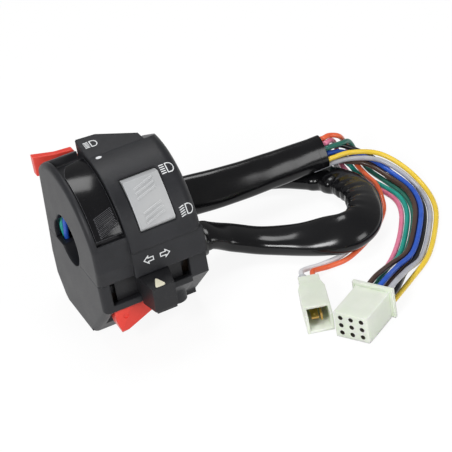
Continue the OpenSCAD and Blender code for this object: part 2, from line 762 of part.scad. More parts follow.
module turn_base() {
    half = pocket_w / 2 - slide;
    color("#5a3a22") difference() {
        box([turn_x - half, turn_base_y0, pocket_floor_z], [turn_x + half, pocket_y1, part_z - run]);
        for (side = [-1, 1]) translate([turn_x + side * turn_screw_x, turn_base_y0 - 1, turn_screw_z])
            rotate([-90, 0, 0]) cylinder(d = turn_screw_d + fit, h = turn_base_t + 2);
    }
}

module turn_contacts() {
    y = turn_base_y0;
    color("#c79b3b") translate([turn_x, 0, 0]) for (x = [-11, 0, 11], z = [part_z - 3, pocket_floor_z + 3])
        box([x - 2, y - contact_t, z - 0.8], [x + 2, y, z + 0.8]);
}

module turn_base_screws() {
    color("silver") for (side = [-1, 1]) translate([turn_x + side * turn_screw_x, turn_base_y0, turn_screw_z])
        rotate([-90, 0, 0]) {
            cylinder(d = turn_screw_d - fit, h = turn_base_t + 2.5);
            translate([0, 0, -0.7]) cylinder(d = 3.6, h = 0.7);
        }
}

horn_mid_z = (horn_top_z + horn_lug_z) / 2 - 0.5;

module horn_lever() {
    x0 = horn_x0;
    x1 = horn_pivot[0];
    top = horn_top_z - run;
    back = horn_back_y - 4.2;
    color("#d8231c") difference() {
        union() {
            intersection() {
                along_x(x0, x1) polygon([
                    [-front_y + 1, top], [-front_y, -horn_drop + 1.5], [-front_y + 1.2, -horn_drop],
                    [back, -horn_drop + 1], [back, top]
                ]);
                translate([0, 0, -big]) linear_extrude(big) polygon([
                    [x0, back], [x0, -front_y + 1.5], [x0 + 1.5, -front_y], [x1 - 4, -front_y + 3],
                    [x1, horn_pivot[1] - horn_hub_r], [x1, horn_pivot[1]], [x1 - 3, back]
                ]);
                rotate([90, 0, 0]) linear_extrude(big) polygon([
                    [x0, top], [x1, top], [x1, horn_lug_z + run], [x1 - 4, horn_lug_z + run],
                    [x0 + 1.4, -horn_drop], [x0, -horn_drop + 6]
                ]);
            }
            translate([horn_pivot[0], horn_pivot[1], horn_lug_z + run])
                cylinder(r = horn_hub_r, h = top - horn_lug_z - run);
        }
        translate([horn_pivot[0], horn_pivot[1], -big]) cylinder(d = pin_d + 2 * fit, h = big);
        translate([horn_spring_x, horn_back_y - 9.5, horn_mid_z]) rotate([-90, 0, 0]) cylinder(d = 6, h = 9);
        for (d = [4.2, 8.4]) translate([x0 + d, -front_y + 1, top - 4.2 + 0.2 * d]) rotate([90, 0, 0])
            cylinder(d = 2.2, h = 3, $fn = 32);
    }
}

module horn_pin() {
    color("silver") translate([horn_pivot[0], horn_pivot[1], horn_lug_z - 2])
        cylinder(d = pin_d, h = horn_top_z + 1.3 - horn_lug_z + 2);
}

module horn_spring() {
    color("silver") translate([horn_spring_x, horn_back_y - 5, horn_mid_z]) rotate([-90, 0, 0]) difference() {
        cylinder(d = 4.4, h = 6);
        translate([0, 0, -1]) cylinder(d = 3.2, h = 8);
    }
}

module horn_contact() {
    color("#c79b3b") box([horn_x0 + 1, horn_back_y - 2.2, horn_mid_z - 2],
        [horn_x0 + 5, horn_back_y, horn_mid_z + 2]);
}

module pass_lever() {
    top = pass_z + pass_h;
    hub_top = pass_z + pass_hub_h;
    tip_x = -hw + 1.2;
    color("#d8231c") difference() {
        union() {
            intersection() {
                translate([0, 0, pass_z]) linear_extrude(pass_h) polygon([
                    [pass_pivot[0], pass_pivot[1] - 1.4], [-6, pass_pivot[1] + 0.4],
                    [-13, pass_pivot[1] + 1.6],
                    [tip_x, pass_pivot[1] + 5], [tip_x, pass_pivot[1] + 8.5], [-13, pass_pivot[1] + 4.4],
                    [pass_pivot[0], pass_pivot[1] + 1.4]
                ]);
                rotate([90, 0, 0]) translate([0, 0, -big]) linear_extrude(2 * big) polygon([
                    [tip_x, pass_z], [big, pass_z], [big, hub_top], [pod[0] - 1.5, hub_top],
                    [pod[0] - 4, top],
                    [tip_x, top]
                ]);
            }
            translate([pass_pivot[0], pass_pivot[1], pass_z]) cylinder(r = pass_hub_r, h = pass_hub_h);
        }
        translate([pass_pivot[0], pass_pivot[1], 0]) cylinder(d = pin_d + 2 * fit, h = big);
    }
}

module pass_pin() {
    color("silver") translate([pass_pivot[0], pass_pivot[1], pod_z0 + 1.1])
        cylinder(d = pin_d, h = pod_z1 - pod_z0 - 1.2);
}

module pass_spring() {
    color("silver") translate([pass_pivot[0], pass_pivot[1], pass_z + pass_hub_h + 0.3]) difference() {
        cylinder(r = 2.8, h = 1);
        translate([0, 0, -1]) cylinder(d = pin_d + fit, h = 3);
    }
}

module pass_contact() {
    color("#c79b3b") box([pod[0] + 0.5, pod_slot_y, pass_z + 0.5],
        [pod[0] + 4.5, pod_slot_y + 0.5, pass_z + 4]);
}

// Point at t from 0 to 1 along one stretch of a smooth route
function smooth(p0, p1, p2, p3, t) = 0.5 * (2 * p1 + (p2 - p0) * t + (2 * p0 - 5 * p1 + 4 * p2 - p3) * t * t
    + (3 * p1 - p0 - 3 * p2 + p3) * t * t * t);

// Route through the given points, with each stretch in n steps
function smooth_route(p, n) = concat(
    [for (i = [0 : len(p) - 2], k = [0 : n - 1])
        smooth(p[max(i - 1, 0)], p[i], p[i + 1], p[min(i + 2, len(p) - 1)], k / n)],
    [p[len(p) - 1]]);

function unit(v) = v / norm(v);
function place(p) = [p[0], p[1], p[2]];

// Direction of a route at point i, straight at both ends
function heading(p, i) = unit(place(p[min(i + 1, len(p) - 1)]) - place(p[max(i - 1, 0)]));

// Sideways and upwards directions across a heading, about a direction that the route never takes, turned by roll
function across(d, about) = unit(cross(d, about));
function side_of(d, about, roll) = let (s = across(d, about)) s * cos(roll) + cross(s, d) * sin(roll);
function up_of(d, about, roll) = let (s = across(d, about)) cross(s, d) * cos(roll) - s * sin(roll);

// Tube of oval section swept along a route whose points may carry a roll and a share of the width
module tube(p, w, t, sides, about = [0, 0, 1]) {
    n = len(p);
    points = [for (i = [0 : n - 1], s = [0 : sides - 1])
        let (d = heading(p, i), roll = len(p[i]) > 3 ? p[i][3] : 0, share = len(p[i]) > 4 ? p[i][4] : 1,
            a = 360 * s / sides)
        place(p[i]) + side_of(d, about, roll) * share * cos(a) * w / 2 + up_of(d, about, roll) * sin(a)
            * t / 2];
    walls = [for (i = [0 : n - 2], s = [0 : sides - 1])
        let (a = i * sides + s, b = i * sides + (s + 1) % sides)
        each [[a, b, a + sides], [b, b + sides, a + sides]]];
    start = [for (s = [1 : sides - 2]) [0, s + 1, s]];
    finish = [for (s = [1 : sides - 2]) [(n - 1) * sides, (n - 1) * sides + s, (n - 1) * sides + s + 1]];
    polyhedron(points, concat(start, walls, finish));
}

module round_wire(p, n, about = [0, 0, 1]) {
    tube(smooth_route(p, n), wire_d, wire_d, 8, about);
}

// Rear way of the nine-way connector, by column and row
function turned(v, a) = [v[0] * cos(a) - v[1] * sin(a), v[0] * sin(a) + v[1] * cos(a)];
function nine_way(along, column, row) = let (v = turned([along, -column * way_pitch[0]], nine_yaw))
    [nine_place[0] + v[0], nine_place[1] + v[1], bottom_z + nine_h / 2 + row * way_pitch[1]];

// Raises a route from the resting surface
function raised(p) = [for (q = p) [for (i = [0 : len(q) - 1]) i == 2 ? q[i] + bottom_z : q[i]]];

// Outward direction across the lanes at point i
function lane_out(i) = i == 0 ? [1, 0] : let (d = unit(lane_mid[i + 1] - lane_mid[i - 1])) [-d[1], d[0]];

// Lane at an offset outwards and up, then its gathering point at another
function lane(off, up, gather, lift) = [for (i = [0 : 4])
    let (q = lane_mid[i] + (i < 4 ? lane_out(i) * off : gather_out * gather))
        [q[0], q[1], lane_h + (i < 4 ? up : lift)]];

// Straight start of a wire at the sleeve's mouth
function mouth(y, h) = [[mouth_x, y, h], [mouth_x + mouth_run / 2, y, h], [mouth_x + mouth_run, y, h]];

// Wire to the nine-way connector, by its place at the mouth, its bend, its lane and its way
module nine_wire(y, h, bend, lane, column, row) {
    round_wire(concat(raised(concat(mouth(y, h), bend, lane)),
        [nine_way(10, column, row), nine_way(3, column, row), nine_way(0, column, row)]), 2);
}

module cable_sleeve() {
    color("#161617") tube(smooth_route(raised(sleeve_route), 2), sleeve_w, sleeve_t, 12);
}

module wire_yellow() {
    color("#f2d33c") nine_wire(25, 14.5, yellow_bend, lane(7.3, 0.35, 6.4, 0.2), 1, -1);
}

module wire_grey() {
    color("#b9bcc4") nine_wire(25.3, 11.8, grey_bend, lane(4.8, 0.25, 5, 4.3), 1, 1);
}

module wire_black() {
    color("#1a1a1c") nine_wire(29.8, 17.1, black_bend, lane(2.4, 0.2, 3.4, 2.2), 1, 0);
}

module wire_blue() {
    color("#2a5fd0") nine_wire(27.8, 15.6, blue_bend, lane(1.2, 2.3, 0.6, 5), 0, 1);
}

module wire_brown() {
    color("#4a352c") nine_wire(27.8, 12.6, brown_bend, lane(-1.2, 2.3, -3, 5), -1, 1);
}

module wire_green() {
    color("#2f7f63") nine_wire(27.4, 18.6, green_bend, lane(-2.4, 0, -1.2, 0.2), 0, -1);
}

module wire_teal() {
    color("#25a896") nine_wire(32, 15.7, teal_bend, lane(-4.8, 0.2, -4.6, 2.6), -1, 0);
}

module wire_pink() {
    color("#ef86a8") nine_wire(29.3, 20.1, pink_bend, lane(-7.2, 0, -6.4, 0.2), -1, -1);
}

module wire_rust() {
    color("#6b4030") nine_wire(30, 14.2, rust_bend, lane(0, 0.25, 0.8, 2.4), 0, 0);
}

// Rear of a way of the two-way connector
function two_way(along, side) = let (v = turned([along, side * two_pitch / 2], two_yaw))
    [two_place[0] + v[0], two_place[1] + v[1], bottom_z + two_h / 2];

// Wire to the two-way connector
module two_wire(y, h, bend, side) {
    round_wire(concat(raised(concat(mouth(y, h), bend)),
        [two_way(two_neck[2] + 4.5, side), two_way(two_neck[2] + 2.2, side), two_way(two_neck[2], side)]), 2);
}

module wire_orange() {
    color("#ee6a3c") two_wire(31.3, 21.6, orange_bend, -1);
}

module wire_white() {
    color("#e6e6ea") two_wire(32.2, 18.9, white_bend, 1);
}

module inner_wire_teal() {
    color("#25a896") round_wire(inner_teal_route, 2, inner_about);
}

module inner_wire_blue() {
    color("#2a5fd0") round_wire(inner_blue_route, 2, inner_about);
}

module inner_wire_orange() {
    color("#ee6a3c") round_wire(inner_orange_route, 2, inner_about);
}

// Puts children at a connector: X from its wire side away from its mouth, Z up from the surface
module at_nine() {
    translate(nine_place) rotate(nine_yaw) children();
}

module at_two() {
    translate(two_place) rotate(two_yaw) children();
}

module nine_ways(x0, x1, d) {
    for (column = [-1 : 1], row = [-1 : 1])
        translate([x0, -column * way_pitch[0], nine_h / 2 + row * way_pitch[1]]) rotate([0, 90, 0])
            cylinder(d = d, h = x1 - x0, $fn = 32);
}

module nine_way_housing() {
    color("#e4e9e0") at_nine() difference() {
        union() {
            box([-nine_l, -nine_w / 2, 0], [0, nine_w / 2, nine_h]);
            box([-nine_flange_t, -nine_w / 2 - nine_flange, 0],
                [0, nine_w / 2 + nine_flange, nine_h + nine_flange]);
        }
        nine_ways(-nine_l - 1, 1, way_mouth_d);
        nine_ways(-nine_l + terminal_back, 1, way_d);
    }
}

module nine_way_terminals() {
    color("#c9b487") at_nine() difference() {
        nine_ways(-nine_l + terminal_back, 0, way_d - 2 * fit);
        nine_ways(-nine_l + terminal_back - 1, -nine_l + terminal_back + 6, way_mouth_d - 0.4);
    }
}

module two_way_housing() {
    mid = two_h / 2;
    color("#e4e9e0") at_two() difference() {
        union() {
            linear_extrude(two_h) polygon([
                [-two_l, -two_w / 2], [-two_shoulder, -two_w / 2], [0, -two_neck[0] / 2],
                [0, two_neck[0] / 2], [-two_shoulder, two_w / 2], [-two_l, two_w / 2]
            ]);
            box([-eps, -two_neck[0] / 2, mid - two_neck[1] / 2],
                [two_neck[2], two_neck[0] / 2, mid + two_neck[1] / 2]);
        }
        box([-two_l - 1, -two_w / 2 + two_wall, two_wall],
            [-two_back, two_w / 2 - two_wall, two_h - two_wall]);
        // top wall cut back at the mouth
        box([-two_l - 1, -two_w / 2 + two_wall, two_wall],
            [-two_l + two_open, two_w / 2 - two_wall, two_h + 1]);
    }
}

// One upright and one flat blade, each with a hole near its tip
module two_way_blades() {
    for (side = [-1, 1]) color("#b98a2e") at_two() translate([-two_back, side * blade_y, two_h / 2])
        rotate([side > 0 ? 90 : 0, 0, 0]) difference() {
            box([-blade[2], -blade[0] / 2, -blade[1] / 2], [0, blade[0] / 2, blade[1] / 2]);
            translate([-blade[2] + 2, 0, 0]) rotate([90, 0, 0])
                cylinder(d = 1.2, h = 4, center = true, $fn = 24);
        }
}

// Grey tube over the white wire at the connector's neck
module two_way_tube() {
    color("#c3c8ca") at_two() translate([two_neck[2], two_pitch / 2, two_h / 2]) rotate([0, 90, 0])
        difference() {
        cylinder(d = wire_d + 1.8, h = 3, $fn = 48);
        translate([0, 0, -1]) cylinder(d = wire_d + fit, h = 8, $fn = 48);
    }
}

upper_shell();
lower_shell();
housing_screws();
cable_boot();
choke_lever();
choke_shoe();
choke_screw();
dip_rocker();
dip_pin();
dip_plunger();
dip_spring();
dip_base();
dip_contacts();
turn_knob();
turn_carriage();
turn_wiper();
turn_base();
turn_contacts();
turn_base_screws();
horn_lever();
horn_pin();
horn_spring();
horn_contact();
pass_lever();
pass_pin();
pass_spring();
pass_contact();
inner_wire_teal();
inner_wire_blue();
inner_wire_orange();
cable_sleeve();
wire_yellow();
wire_grey();
wire_black();
wire_blue();
wire_brown();
wire_green();
wire_teal();
wire_pink();
wire_rust();
wire_orange();
wire_white();
nine_way_housing();
nine_way_terminals();
two_way_housing();
two_way_blades();
two_way_tube();
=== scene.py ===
"""Looks of a handlebar switch cluster: camera and light, cable and wires, signs, springs and finishes."""
import json
import math

import bpy
from mathutils import Matrix, Vector


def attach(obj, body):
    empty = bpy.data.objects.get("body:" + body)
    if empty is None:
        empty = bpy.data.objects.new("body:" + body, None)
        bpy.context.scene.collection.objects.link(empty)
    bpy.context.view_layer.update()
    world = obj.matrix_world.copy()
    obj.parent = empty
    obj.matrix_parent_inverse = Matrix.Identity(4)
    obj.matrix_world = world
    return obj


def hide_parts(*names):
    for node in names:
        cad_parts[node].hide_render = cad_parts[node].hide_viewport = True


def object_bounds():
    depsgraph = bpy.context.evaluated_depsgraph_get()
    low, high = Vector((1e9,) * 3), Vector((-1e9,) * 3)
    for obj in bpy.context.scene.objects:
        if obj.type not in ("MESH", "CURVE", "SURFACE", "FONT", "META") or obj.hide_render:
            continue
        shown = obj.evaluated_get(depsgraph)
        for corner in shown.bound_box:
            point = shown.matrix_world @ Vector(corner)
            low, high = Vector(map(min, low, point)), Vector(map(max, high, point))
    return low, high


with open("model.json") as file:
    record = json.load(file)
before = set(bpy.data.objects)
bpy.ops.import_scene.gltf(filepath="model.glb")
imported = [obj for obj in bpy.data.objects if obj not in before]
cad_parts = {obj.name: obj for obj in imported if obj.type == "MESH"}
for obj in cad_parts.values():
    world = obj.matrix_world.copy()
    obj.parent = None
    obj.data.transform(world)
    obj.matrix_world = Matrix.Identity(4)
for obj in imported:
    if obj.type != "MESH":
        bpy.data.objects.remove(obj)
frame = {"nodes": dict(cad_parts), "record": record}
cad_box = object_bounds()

MM = 0.001
scene = bpy.context.scene
scene.view_settings.view_transform = "Standard"
floor_z = cad_box[0].z


# Camera at the photograph's angle: the bore's left end sits at a known pixel, at a known scale

frame_px = 452
bore_end = Vector((-23, 0, 0))
bore_end_px = (68.3, 240.4)
px_per_mm = 2.494
sensor_mm = 36


def photo_camera(azimuth, elevation, roll, distance):
    """Camera at those angles in degrees, that many millimetres from the bore's left end."""
    a, e, r = (math.radians(v) for v in (azimuth, elevation, roll))
    back = Vector((math.sin(a) * math.cos(e), -math.cos(a) * math.cos(e), math.sin(e)))
    level = Vector((math.cos(a), math.sin(a), 0))
    rise = back.cross(level)
    right = level * math.cos(r) + rise * math.sin(r)
    up = rise * math.cos(r) - level * math.sin(r)
    place = bore_end + back * distance
    off_right = (frame_px / 2 - bore_end_px[0]) / px_per_mm
    off_up = (bore_end_px[1] - frame_px / 2) / px_per_mm
    middle = bore_end + right * off_right + up * off_up
    ahead = (middle - place).normalized()
    across = ahead.cross(up).normalized()
    turn = Matrix((across, across.cross(ahead), -ahead)).transposed()
    data = bpy.data.cameras.new("photo_camera")
    data.sensor_width = sensor_mm
    data.lens = sensor_mm * px_per_mm * (middle - place).length / frame_px
    data.clip_start, data.clip_end = 0.05, 20
    camera = bpy.data.objects.new("photo_camera", data)
    camera.matrix_world = Matrix.Translation(place * MM) @ turn.to_4x4()
    scene.collection.objects.link(camera)
    scene.camera = camera


photo_camera(azimuth=-14.9, elevation=33, roll=-13, distance=900)


# Shader groups

def new_group(name, inputs, outputs):
    """Empty shader node group with the given sockets: (name, type, default)."""
    group = bpy.data.node_groups.new(name, "ShaderNodeTree")
    for label, kind, value in inputs:
        socket = group.interface.new_socket(name=label, in_out="INPUT", socket_type="NodeSocket" + kind)
        socket.default_value = value
    for label, kind in outputs:
        group.interface.new_socket(name=label, in_out="OUTPUT", socket_type="NodeSocket" + kind)
    return group, group.nodes.new("NodeGroupInput"), group.nodes.new("NodeGroupOutput")


def add(tree, kind, values=None, **settings):
    """Node of that kind with its settings, its input values, and links for inputs given as sockets."""
    node = tree.nodes.new("ShaderNode" + kind)
    for key, value in settings.items():
        setattr(node, key, value)
    for key, value in (values or {}).items():
        if isinstance(value, bpy.types.NodeSocket):
            tree.links.new(value, node.inputs[key])
        else:
            node.inputs[key].default_value = value
    return node


def moulded_group():
    """Moulded surface: two tones in soft patches, uneven gloss and a fine grain."""
    group, given, out = new_group(
        "moulded_surface",
        [("Color", "Color", (0.5, 0.5, 0.5, 1)), ("Tint", "Color", (0.5, 0.5, 0.5, 1)),
         ("Patch Scale", "Float", 90), ("Grain Scale", "Float", 2600), ("Roughness", "Float", 0.5),
         ("Unevenness", "Float", 0.1)],
        [("Color", "Color"), ("Roughness", "Float"), ("Height", "Float")])
    place = add(group, "TexCoord").outputs["Object"]
    patch = add(group, "TexNoise", {"Vector": place, "Scale": given.outputs["Patch Scale"], "Detail": 4.0,
                                    "Roughness": 0.55})
    grain = add(group, "TexNoise", {"Vector": place, "Scale": given.outputs["Grain Scale"], "Detail": 2.0,
                                    "Roughness": 0.6})
    share = add(group, "MapRange", {"Value": patch.outputs[0], "From Min": 0.35, "From Max": 0.65})
    tone = add(group, "MixRGB", {"Fac": share.outputs[0], "Color1": given.outputs["Color"],
                                 "Color2": given.outputs["Tint"]})
    both = add(group, "Math", {0: patch.outputs[0], 1: grain.outputs[0]}, operation="ADD")
    off = add(group, "Math", {0: both.outputs[0], 1: 1.0}, operation="SUBTRACT")
    rough = add(group, "Math", {0: off.outputs[0], 1: given.outputs["Unevenness"],
                                2: given.outputs["Roughness"]}, operation="MULTIPLY_ADD", use_clamp=True)
    group.links.new(tone.outputs[0], out.inputs["Color"])
    group.links.new(rough.outputs[0], out.inputs["Roughness"])
    group.links.new(grain.outputs[0], out.inputs["Height"])
    return group


def rub_group():
    """Rub marks: thin pale streaks and specks where hands and tools have touched the surface."""
    dulling = 0.3
    group, given, out = new_group(
        "rub_marks",
        [("Color", "Color", (0.5, 0.5, 0.5, 1)), ("Marks", "Color", (0.7, 0.7, 0.7, 1)),
         ("Amount", "Float", 0.2), ("Roughness", "Float", 0.5), ("Streak Scale", "Float", 160)],
        [("Color", "Color"), ("Roughness", "Float")])
    place = add(group, "TexCoord").outputs["Object"]
    slanted = add(group, "Mapping", {"Vector": place, "Rotation": (0.5, 0.3, 0.7), "Scale": (1, 6, 1)})
    streak = add(group, "TexNoise", {"Vector": slanted.outputs[0], "Scale": given.outputs["Streak Scale"],
                                     "Detail": 6.0, "Roughness": 0.7})
    speck = add(group, "TexNoise", {"Vector": place, "Scale": 1900.0, "Detail": 1.0})
    lines = add(group, "MapRange", {"Value": streak.outputs[0], "From Min": 0.6, "From Max": 0.72})
    dots = add(group, "MapRange", {"Value": speck.outputs[0], "From Min": 0.68, "From Max": 0.76})
    most = add(group, "Math", {0: lines.outputs[0], 1: dots.outputs[0]}, operation="MAXIMUM")
    mask = add(group, "Math", {0: most.outputs[0], 1: given.outputs["Amount"]}, operation="MULTIPLY")
    tone = add(group, "MixRGB", {"Fac": mask.outputs[0], "Color1": given.outputs["Color"],
                                 "Color2": given.outputs["Marks"]})
    rough = add(group, "Math", {0: mask.outputs[0], 1: dulling, 2: given.outputs["Roughness"]},
                operation="MULTIPLY_ADD", use_clamp=True)
    group.links.new(tone.outputs[0], out.inputs["Color"])
    group.links.new(rough.outputs[0], out.inputs["Roughness"])
    return group


moulded, rubbed = moulded_group(), rub_group()
pale_edge_dulling = 0.25


# Finishes

def finish(name, color, tint, roughness, unevenness=0.1, patch=90, grain=2600, bump=0.1, specular=0.5,
           rub=0.0, marks=(0.5, 0.5, 0.52), edge=0.0, wear_and_highlight=0.0, **sockets):
    """Material of a moulded, drawn or plated surface.

    rub is the strength of pale marks. wear and edge are radii in metres, of pale edges and of shaded rounds;
    the pale edges are partly worn edges and partly a painted highlight on edges and ribs.
    marks is the colour of both the rub marks and the pale edges.
    sockets are plain values on the shader.
    """
    material = bpy.data.materials.new(name)
    material.use_nodes = True
    tree = material.node_tree
    tree.nodes.clear()
    base = add(tree, "Group", node_tree=moulded)
    for key, value in (("Color", (*color, 1)), ("Tint", (*tint, 1)), ("Patch Scale", patch),
                       ("Grain Scale", grain), ("Roughness", roughness), ("Unevenness", unevenness)):
        base.inputs[key].default_value = value
    tone, rough = base.outputs["Color"], base.outputs["Roughness"]
    if rub:
        worn = add(tree, "Group", node_tree=rubbed)
        tree.links.new(tone, worn.inputs["Color"])
        tree.links.new(rough, worn.inputs["Roughness"])
        worn.inputs["Marks"].default_value = (*marks, 1)
        worn.inputs["Amount"].default_value = rub
        tone, rough = worn.outputs["Color"], worn.outputs["Roughness"]
    # Pale edges where the bevelled normal turns from the plain one: partly worn edges, partly a painted
    # highlight on edges and ribs
    if wear_and_highlight:
        rounded = add(tree, "Bevel", {"Radius": wear_and_highlight}, samples=8)
        plain = add(tree, "NewGeometry")
        turn = add(tree, "VectorMath", {0: rounded.outputs[0], 1: plain.outputs["Normal"]},
                   operation="DOT_PRODUCT")
        rim = add(tree, "MapRange", {"Value": turn.outputs["Value"], "From Min": 0.995, "From Max": 0.9})
        pale = add(tree, "MixRGB", {"Fac": rim.outputs[0], "Color1": tone, "Color2": (*marks, 1)})
        dull = add(tree, "Math", {0: rim.outputs[0], 1: pale_edge_dulling, 2: rough}, operation="MULTIPLY_ADD")
        tone, rough = pale.outputs[0], dull.outputs[0]
    relief = add(tree, "Bump", {"Height": base.outputs["Height"], "Strength": bump, "Distance": 0.0002})
    if edge:
        soft = add(tree, "Bevel", {"Radius": edge}, samples=6)
        tree.links.new(soft.outputs[0], relief.inputs["Normal"])
    shader = add(tree, "BsdfPrincipled", {
        "Base Color": tone, "Roughness": rough, "Normal": relief.outputs[0], "Specular IOR Level": specular,
        **sockets})
    out = add(tree, "OutputMaterial")
    tree.links.new(shader.outputs[0], out.inputs["Surface"])
    return material


milky = {"Subsurface Weight": 0.8, "Subsurface Radius": (0.0018, 0.002, 0.0016), "Subsurface Scale": 1.0}
finishes = {
    "shell_plastic": finish(
        "shell_plastic", (0.015, 0.0155, 0.018), (0.021, 0.0215, 0.025), 0.46, 0.14, grain=2200, bump=0.3,
        specular=0.32, rub=0.1, marks=(0.14, 0.14, 0.15), edge=0.0012),
    "knob_plastic": finish(
        "knob_plastic", (0.014, 0.014, 0.016), (0.02, 0.02, 0.022), 0.42, 0.14, bump=0.2, specular=0.3,
        rub=0.1, marks=(0.15, 0.15, 0.15)),
    # Pale edges on the choke lever: partly worn, partly a painted highlight on its ribs
    "choke_plastic": finish(
        "choke_plastic", (0.004, 0.004, 0.005), (0.006, 0.006, 0.007), 0.16, 0.06, bump=0.03, specular=0.3,
        rub=0.08, marks=(0.11, 0.11, 0.12), wear_and_highlight=0.0004),
    # Pale edges on the rocker: a painted highlight on its ribs and edges
    "rocker_plastic": finish(
        "rocker_plastic", (0.42, 0.43, 0.44), (0.46, 0.465, 0.47), 0.4, marks=(0.72, 0.73, 0.74),
        wear_and_highlight=0.0003),
    "lever_plastic": finish(
        "lever_plastic", (0.78, 0.055, 0.04), (0.86, 0.075, 0.05), 0.34, bump=0.12, specular=0.3, rub=0.06,
        marks=(0.9, 0.3, 0.25)),
    "boot_rubber": finish(
        "boot_rubber", (0.012, 0.012, 0.013), (0.018, 0.018, 0.019), 0.3, 0.15, bump=0.15),
    "sleeve_vinyl": finish(
        "sleeve_vinyl", (0.005, 0.005, 0.006), (0.008, 0.008, 0.009), 0.17, 0.06, patch=60, grain=900,
        bump=0.03, specular=0.38, rub=0.04, marks=(0.08, 0.08, 0.09)),
    "connector_nylon": finish("connector_nylon", (0.75, 0.81, 0.69), (0.82, 0.87, 0.76), 0.36, **milky),
    # painted shade for the walls inside the connector's ways, which lie in shadow
    "painted_way_shade": finish("painted_way_shade", (0.05, 0.045, 0.035), (0.08, 0.07, 0.055), 0.6),
    "tube_vinyl": finish("tube_vinyl", (0.5, 0.53, 0.55), (0.56, 0.58, 0.6), 0.4),
    "steel": finish("steel", (0.55, 0.55, 0.57), (0.62, 0.62, 0.63), 0.32, 0.2, Metallic=1.0),
    "dark_steel": finish("dark_steel", (0.03, 0.03, 0.032), (0.045, 0.045, 0.047), 0.4, 0.2, Metallic=1.0),
    "spring_steel": finish(
        "spring_steel", (0.45, 0.45, 0.47), (0.52, 0.52, 0.54), 0.28, 0.15, bump=0.05, Metallic=1.0),
    "brass": finish("brass", (0.62, 0.42, 0.14), (0.52, 0.33, 0.1), 0.3, 0.2, bump=0.08, Metallic=1.0),
    "tinned_brass": finish(
        "tinned_brass", (0.035, 0.03, 0.022), (0.06, 0.05, 0.036), 0.7, 0.15, bump=0.08, Metallic=0.6),
    "contact_board": finish("contact_board", (0.035, 0.02, 0.012), (0.05, 0.03, 0.017), 0.6, bump=0.2),
    "shoe_nylon": finish("shoe_nylon", (0.68, 0.65, 0.55), (0.74, 0.71, 0.62), 0.45),
    "sign_ink": finish("sign_ink", (0.72, 0.74, 0.75), (0.8, 0.81, 0.82), 0.5, grain=3400, bump=0.2),
    "mark_ink": finish("mark_ink", (0.82, 0.78, 0.6), (0.88, 0.85, 0.68), 0.4),
}

wire_tones = {
    "yellow": ((0.9, 0.62, 0.045), (0.95, 0.68, 0.07)),
    "grey": ((0.42, 0.43, 0.48), (0.5, 0.51, 0.55)),
    "black": ((0.008, 0.008, 0.01), (0.013, 0.013, 0.015)),
    "blue": ((0.02, 0.09, 0.52), (0.03, 0.12, 0.6)),
    "brown": ((0.06, 0.034, 0.026), (0.08, 0.046, 0.034)),
    "green": ((0.02, 0.14, 0.11), (0.03, 0.18, 0.13)),
    "teal": ((0.012, 0.33, 0.27), (0.02, 0.4, 0.32)),
    "pink": ((0.82, 0.2, 0.34), (0.88, 0.26, 0.4)),
    "rust": ((0.1, 0.045, 0.03), (0.13, 0.06, 0.04)),
    "orange": ((0.85, 0.13, 0.045), (0.9, 0.17, 0.065)),
    "white": ((0.72, 0.72, 0.75), (0.8, 0.8, 0.82)),
}
for tone, (color, tint) in wire_tones.items():
    slot = "wire_" + tone
    finishes[slot] = finish(slot, color, tint, 0.3, 0.08, patch=200, grain=1500, bump=0.05)


# Routes of the cable and wires

def smooth_route(points, steps):
    """Smooth line through the points, in that many steps a stretch, for every number of a point."""
    line = []
    for i in range(len(points) - 1):
        p0, p1 = points[max(i - 1, 0)], points[i]
        p2, p3 = points[i + 1], points[min(i + 2, len(points) - 1)]
        for k in range(steps):
            t = k / steps
            line.append([0.5 * (2 * b + (c - a) * t + (2 * a - 5 * b + 4 * c - d) * t * t
                                + (3 * b - a - 3 * c + d) * t ** 3) for a, b, c, d in zip(p0, p1, p2, p3)])
    return line + [list(points[-1])]


def route_length(line):
    """Length in metres of a line of points in millimetres."""
    return sum((Vector(a[:3]) - Vector(b[:3])).length for a, b in zip(line, line[1:])) * MM


def lifted(points):
    """Points given as x, y and height above the floor in millimetres, in the part's frame."""
    return [[p[0], p[1], p[2] + floor_z / MM, *p[3:]] for p in points]


def new_mesh(name, verts, faces, material, smooth=True):
    """Piece of a mesh given in millimetres."""
    mesh = bpy.data.meshes.new(name)
    mesh.from_pydata([Vector(v) * MM for v in verts], [], faces)
    mesh.materials.append(material)
    mesh.polygons.foreach_set("use_smooth", [smooth] * len(mesh.polygons))
    mesh.validate()
    piece = bpy.data.objects.new(name, mesh)
    scene.collection.objects.link(piece)
    return piece


# Cable sleeve, along the same route as its solid

# Each point: x, y, height above the floor, roll in degrees, share of the full width
sleeve_points = lifted([
    (34, 5, 15, -10, 1), (35.5, 5, 15, -10, 1), (37, 5, 15, -10, 1), (46, 5, 10, -5, 1), (58, 0, 6, 0, 1),
    (70, -9, 6.2, -15, 1.05), (80, -17.5, 8.3, -35, 1.15), (88, -22, 9.5, -40, 1.15),
    (96, -20, 10, -30, 1.1), (102, -12, 10, -20, 1), (106, 0, 8.5, -10, 1), (107, 12, 6.5, -5, 1),
    (104, 23, 5, 0, 1), (97, 33, 4.7, 0, 1), (87, 42, 4.7, 0, 1), (72, 49, 4.7, 0, 1), (54, 54, 4.7, 0, 1),
    (36, 58, 5, 0, 1), (20, 63, 5, 0, 1), (7, 66, 6, 0, 1), (-4, 62, 9, 0, 1), (-5, 52, 12, 20, 1),
    (4, 45, 14, 60, 1.1),
    (20, 40, 16, 100, 1.2), (40, 34.5, 17, 120, 1.2), (60, 31, 17, 120, 1.15), (82, 29.5, 17, 120, 1.05),
    (98, 29, 17, 120, 1), (101, 29, 17, 120, 1), (104, 29, 17, 120, 1),
])
sleeve_size = (14.6, 9.0)
sleeve_corner = (0.86, 0.8)
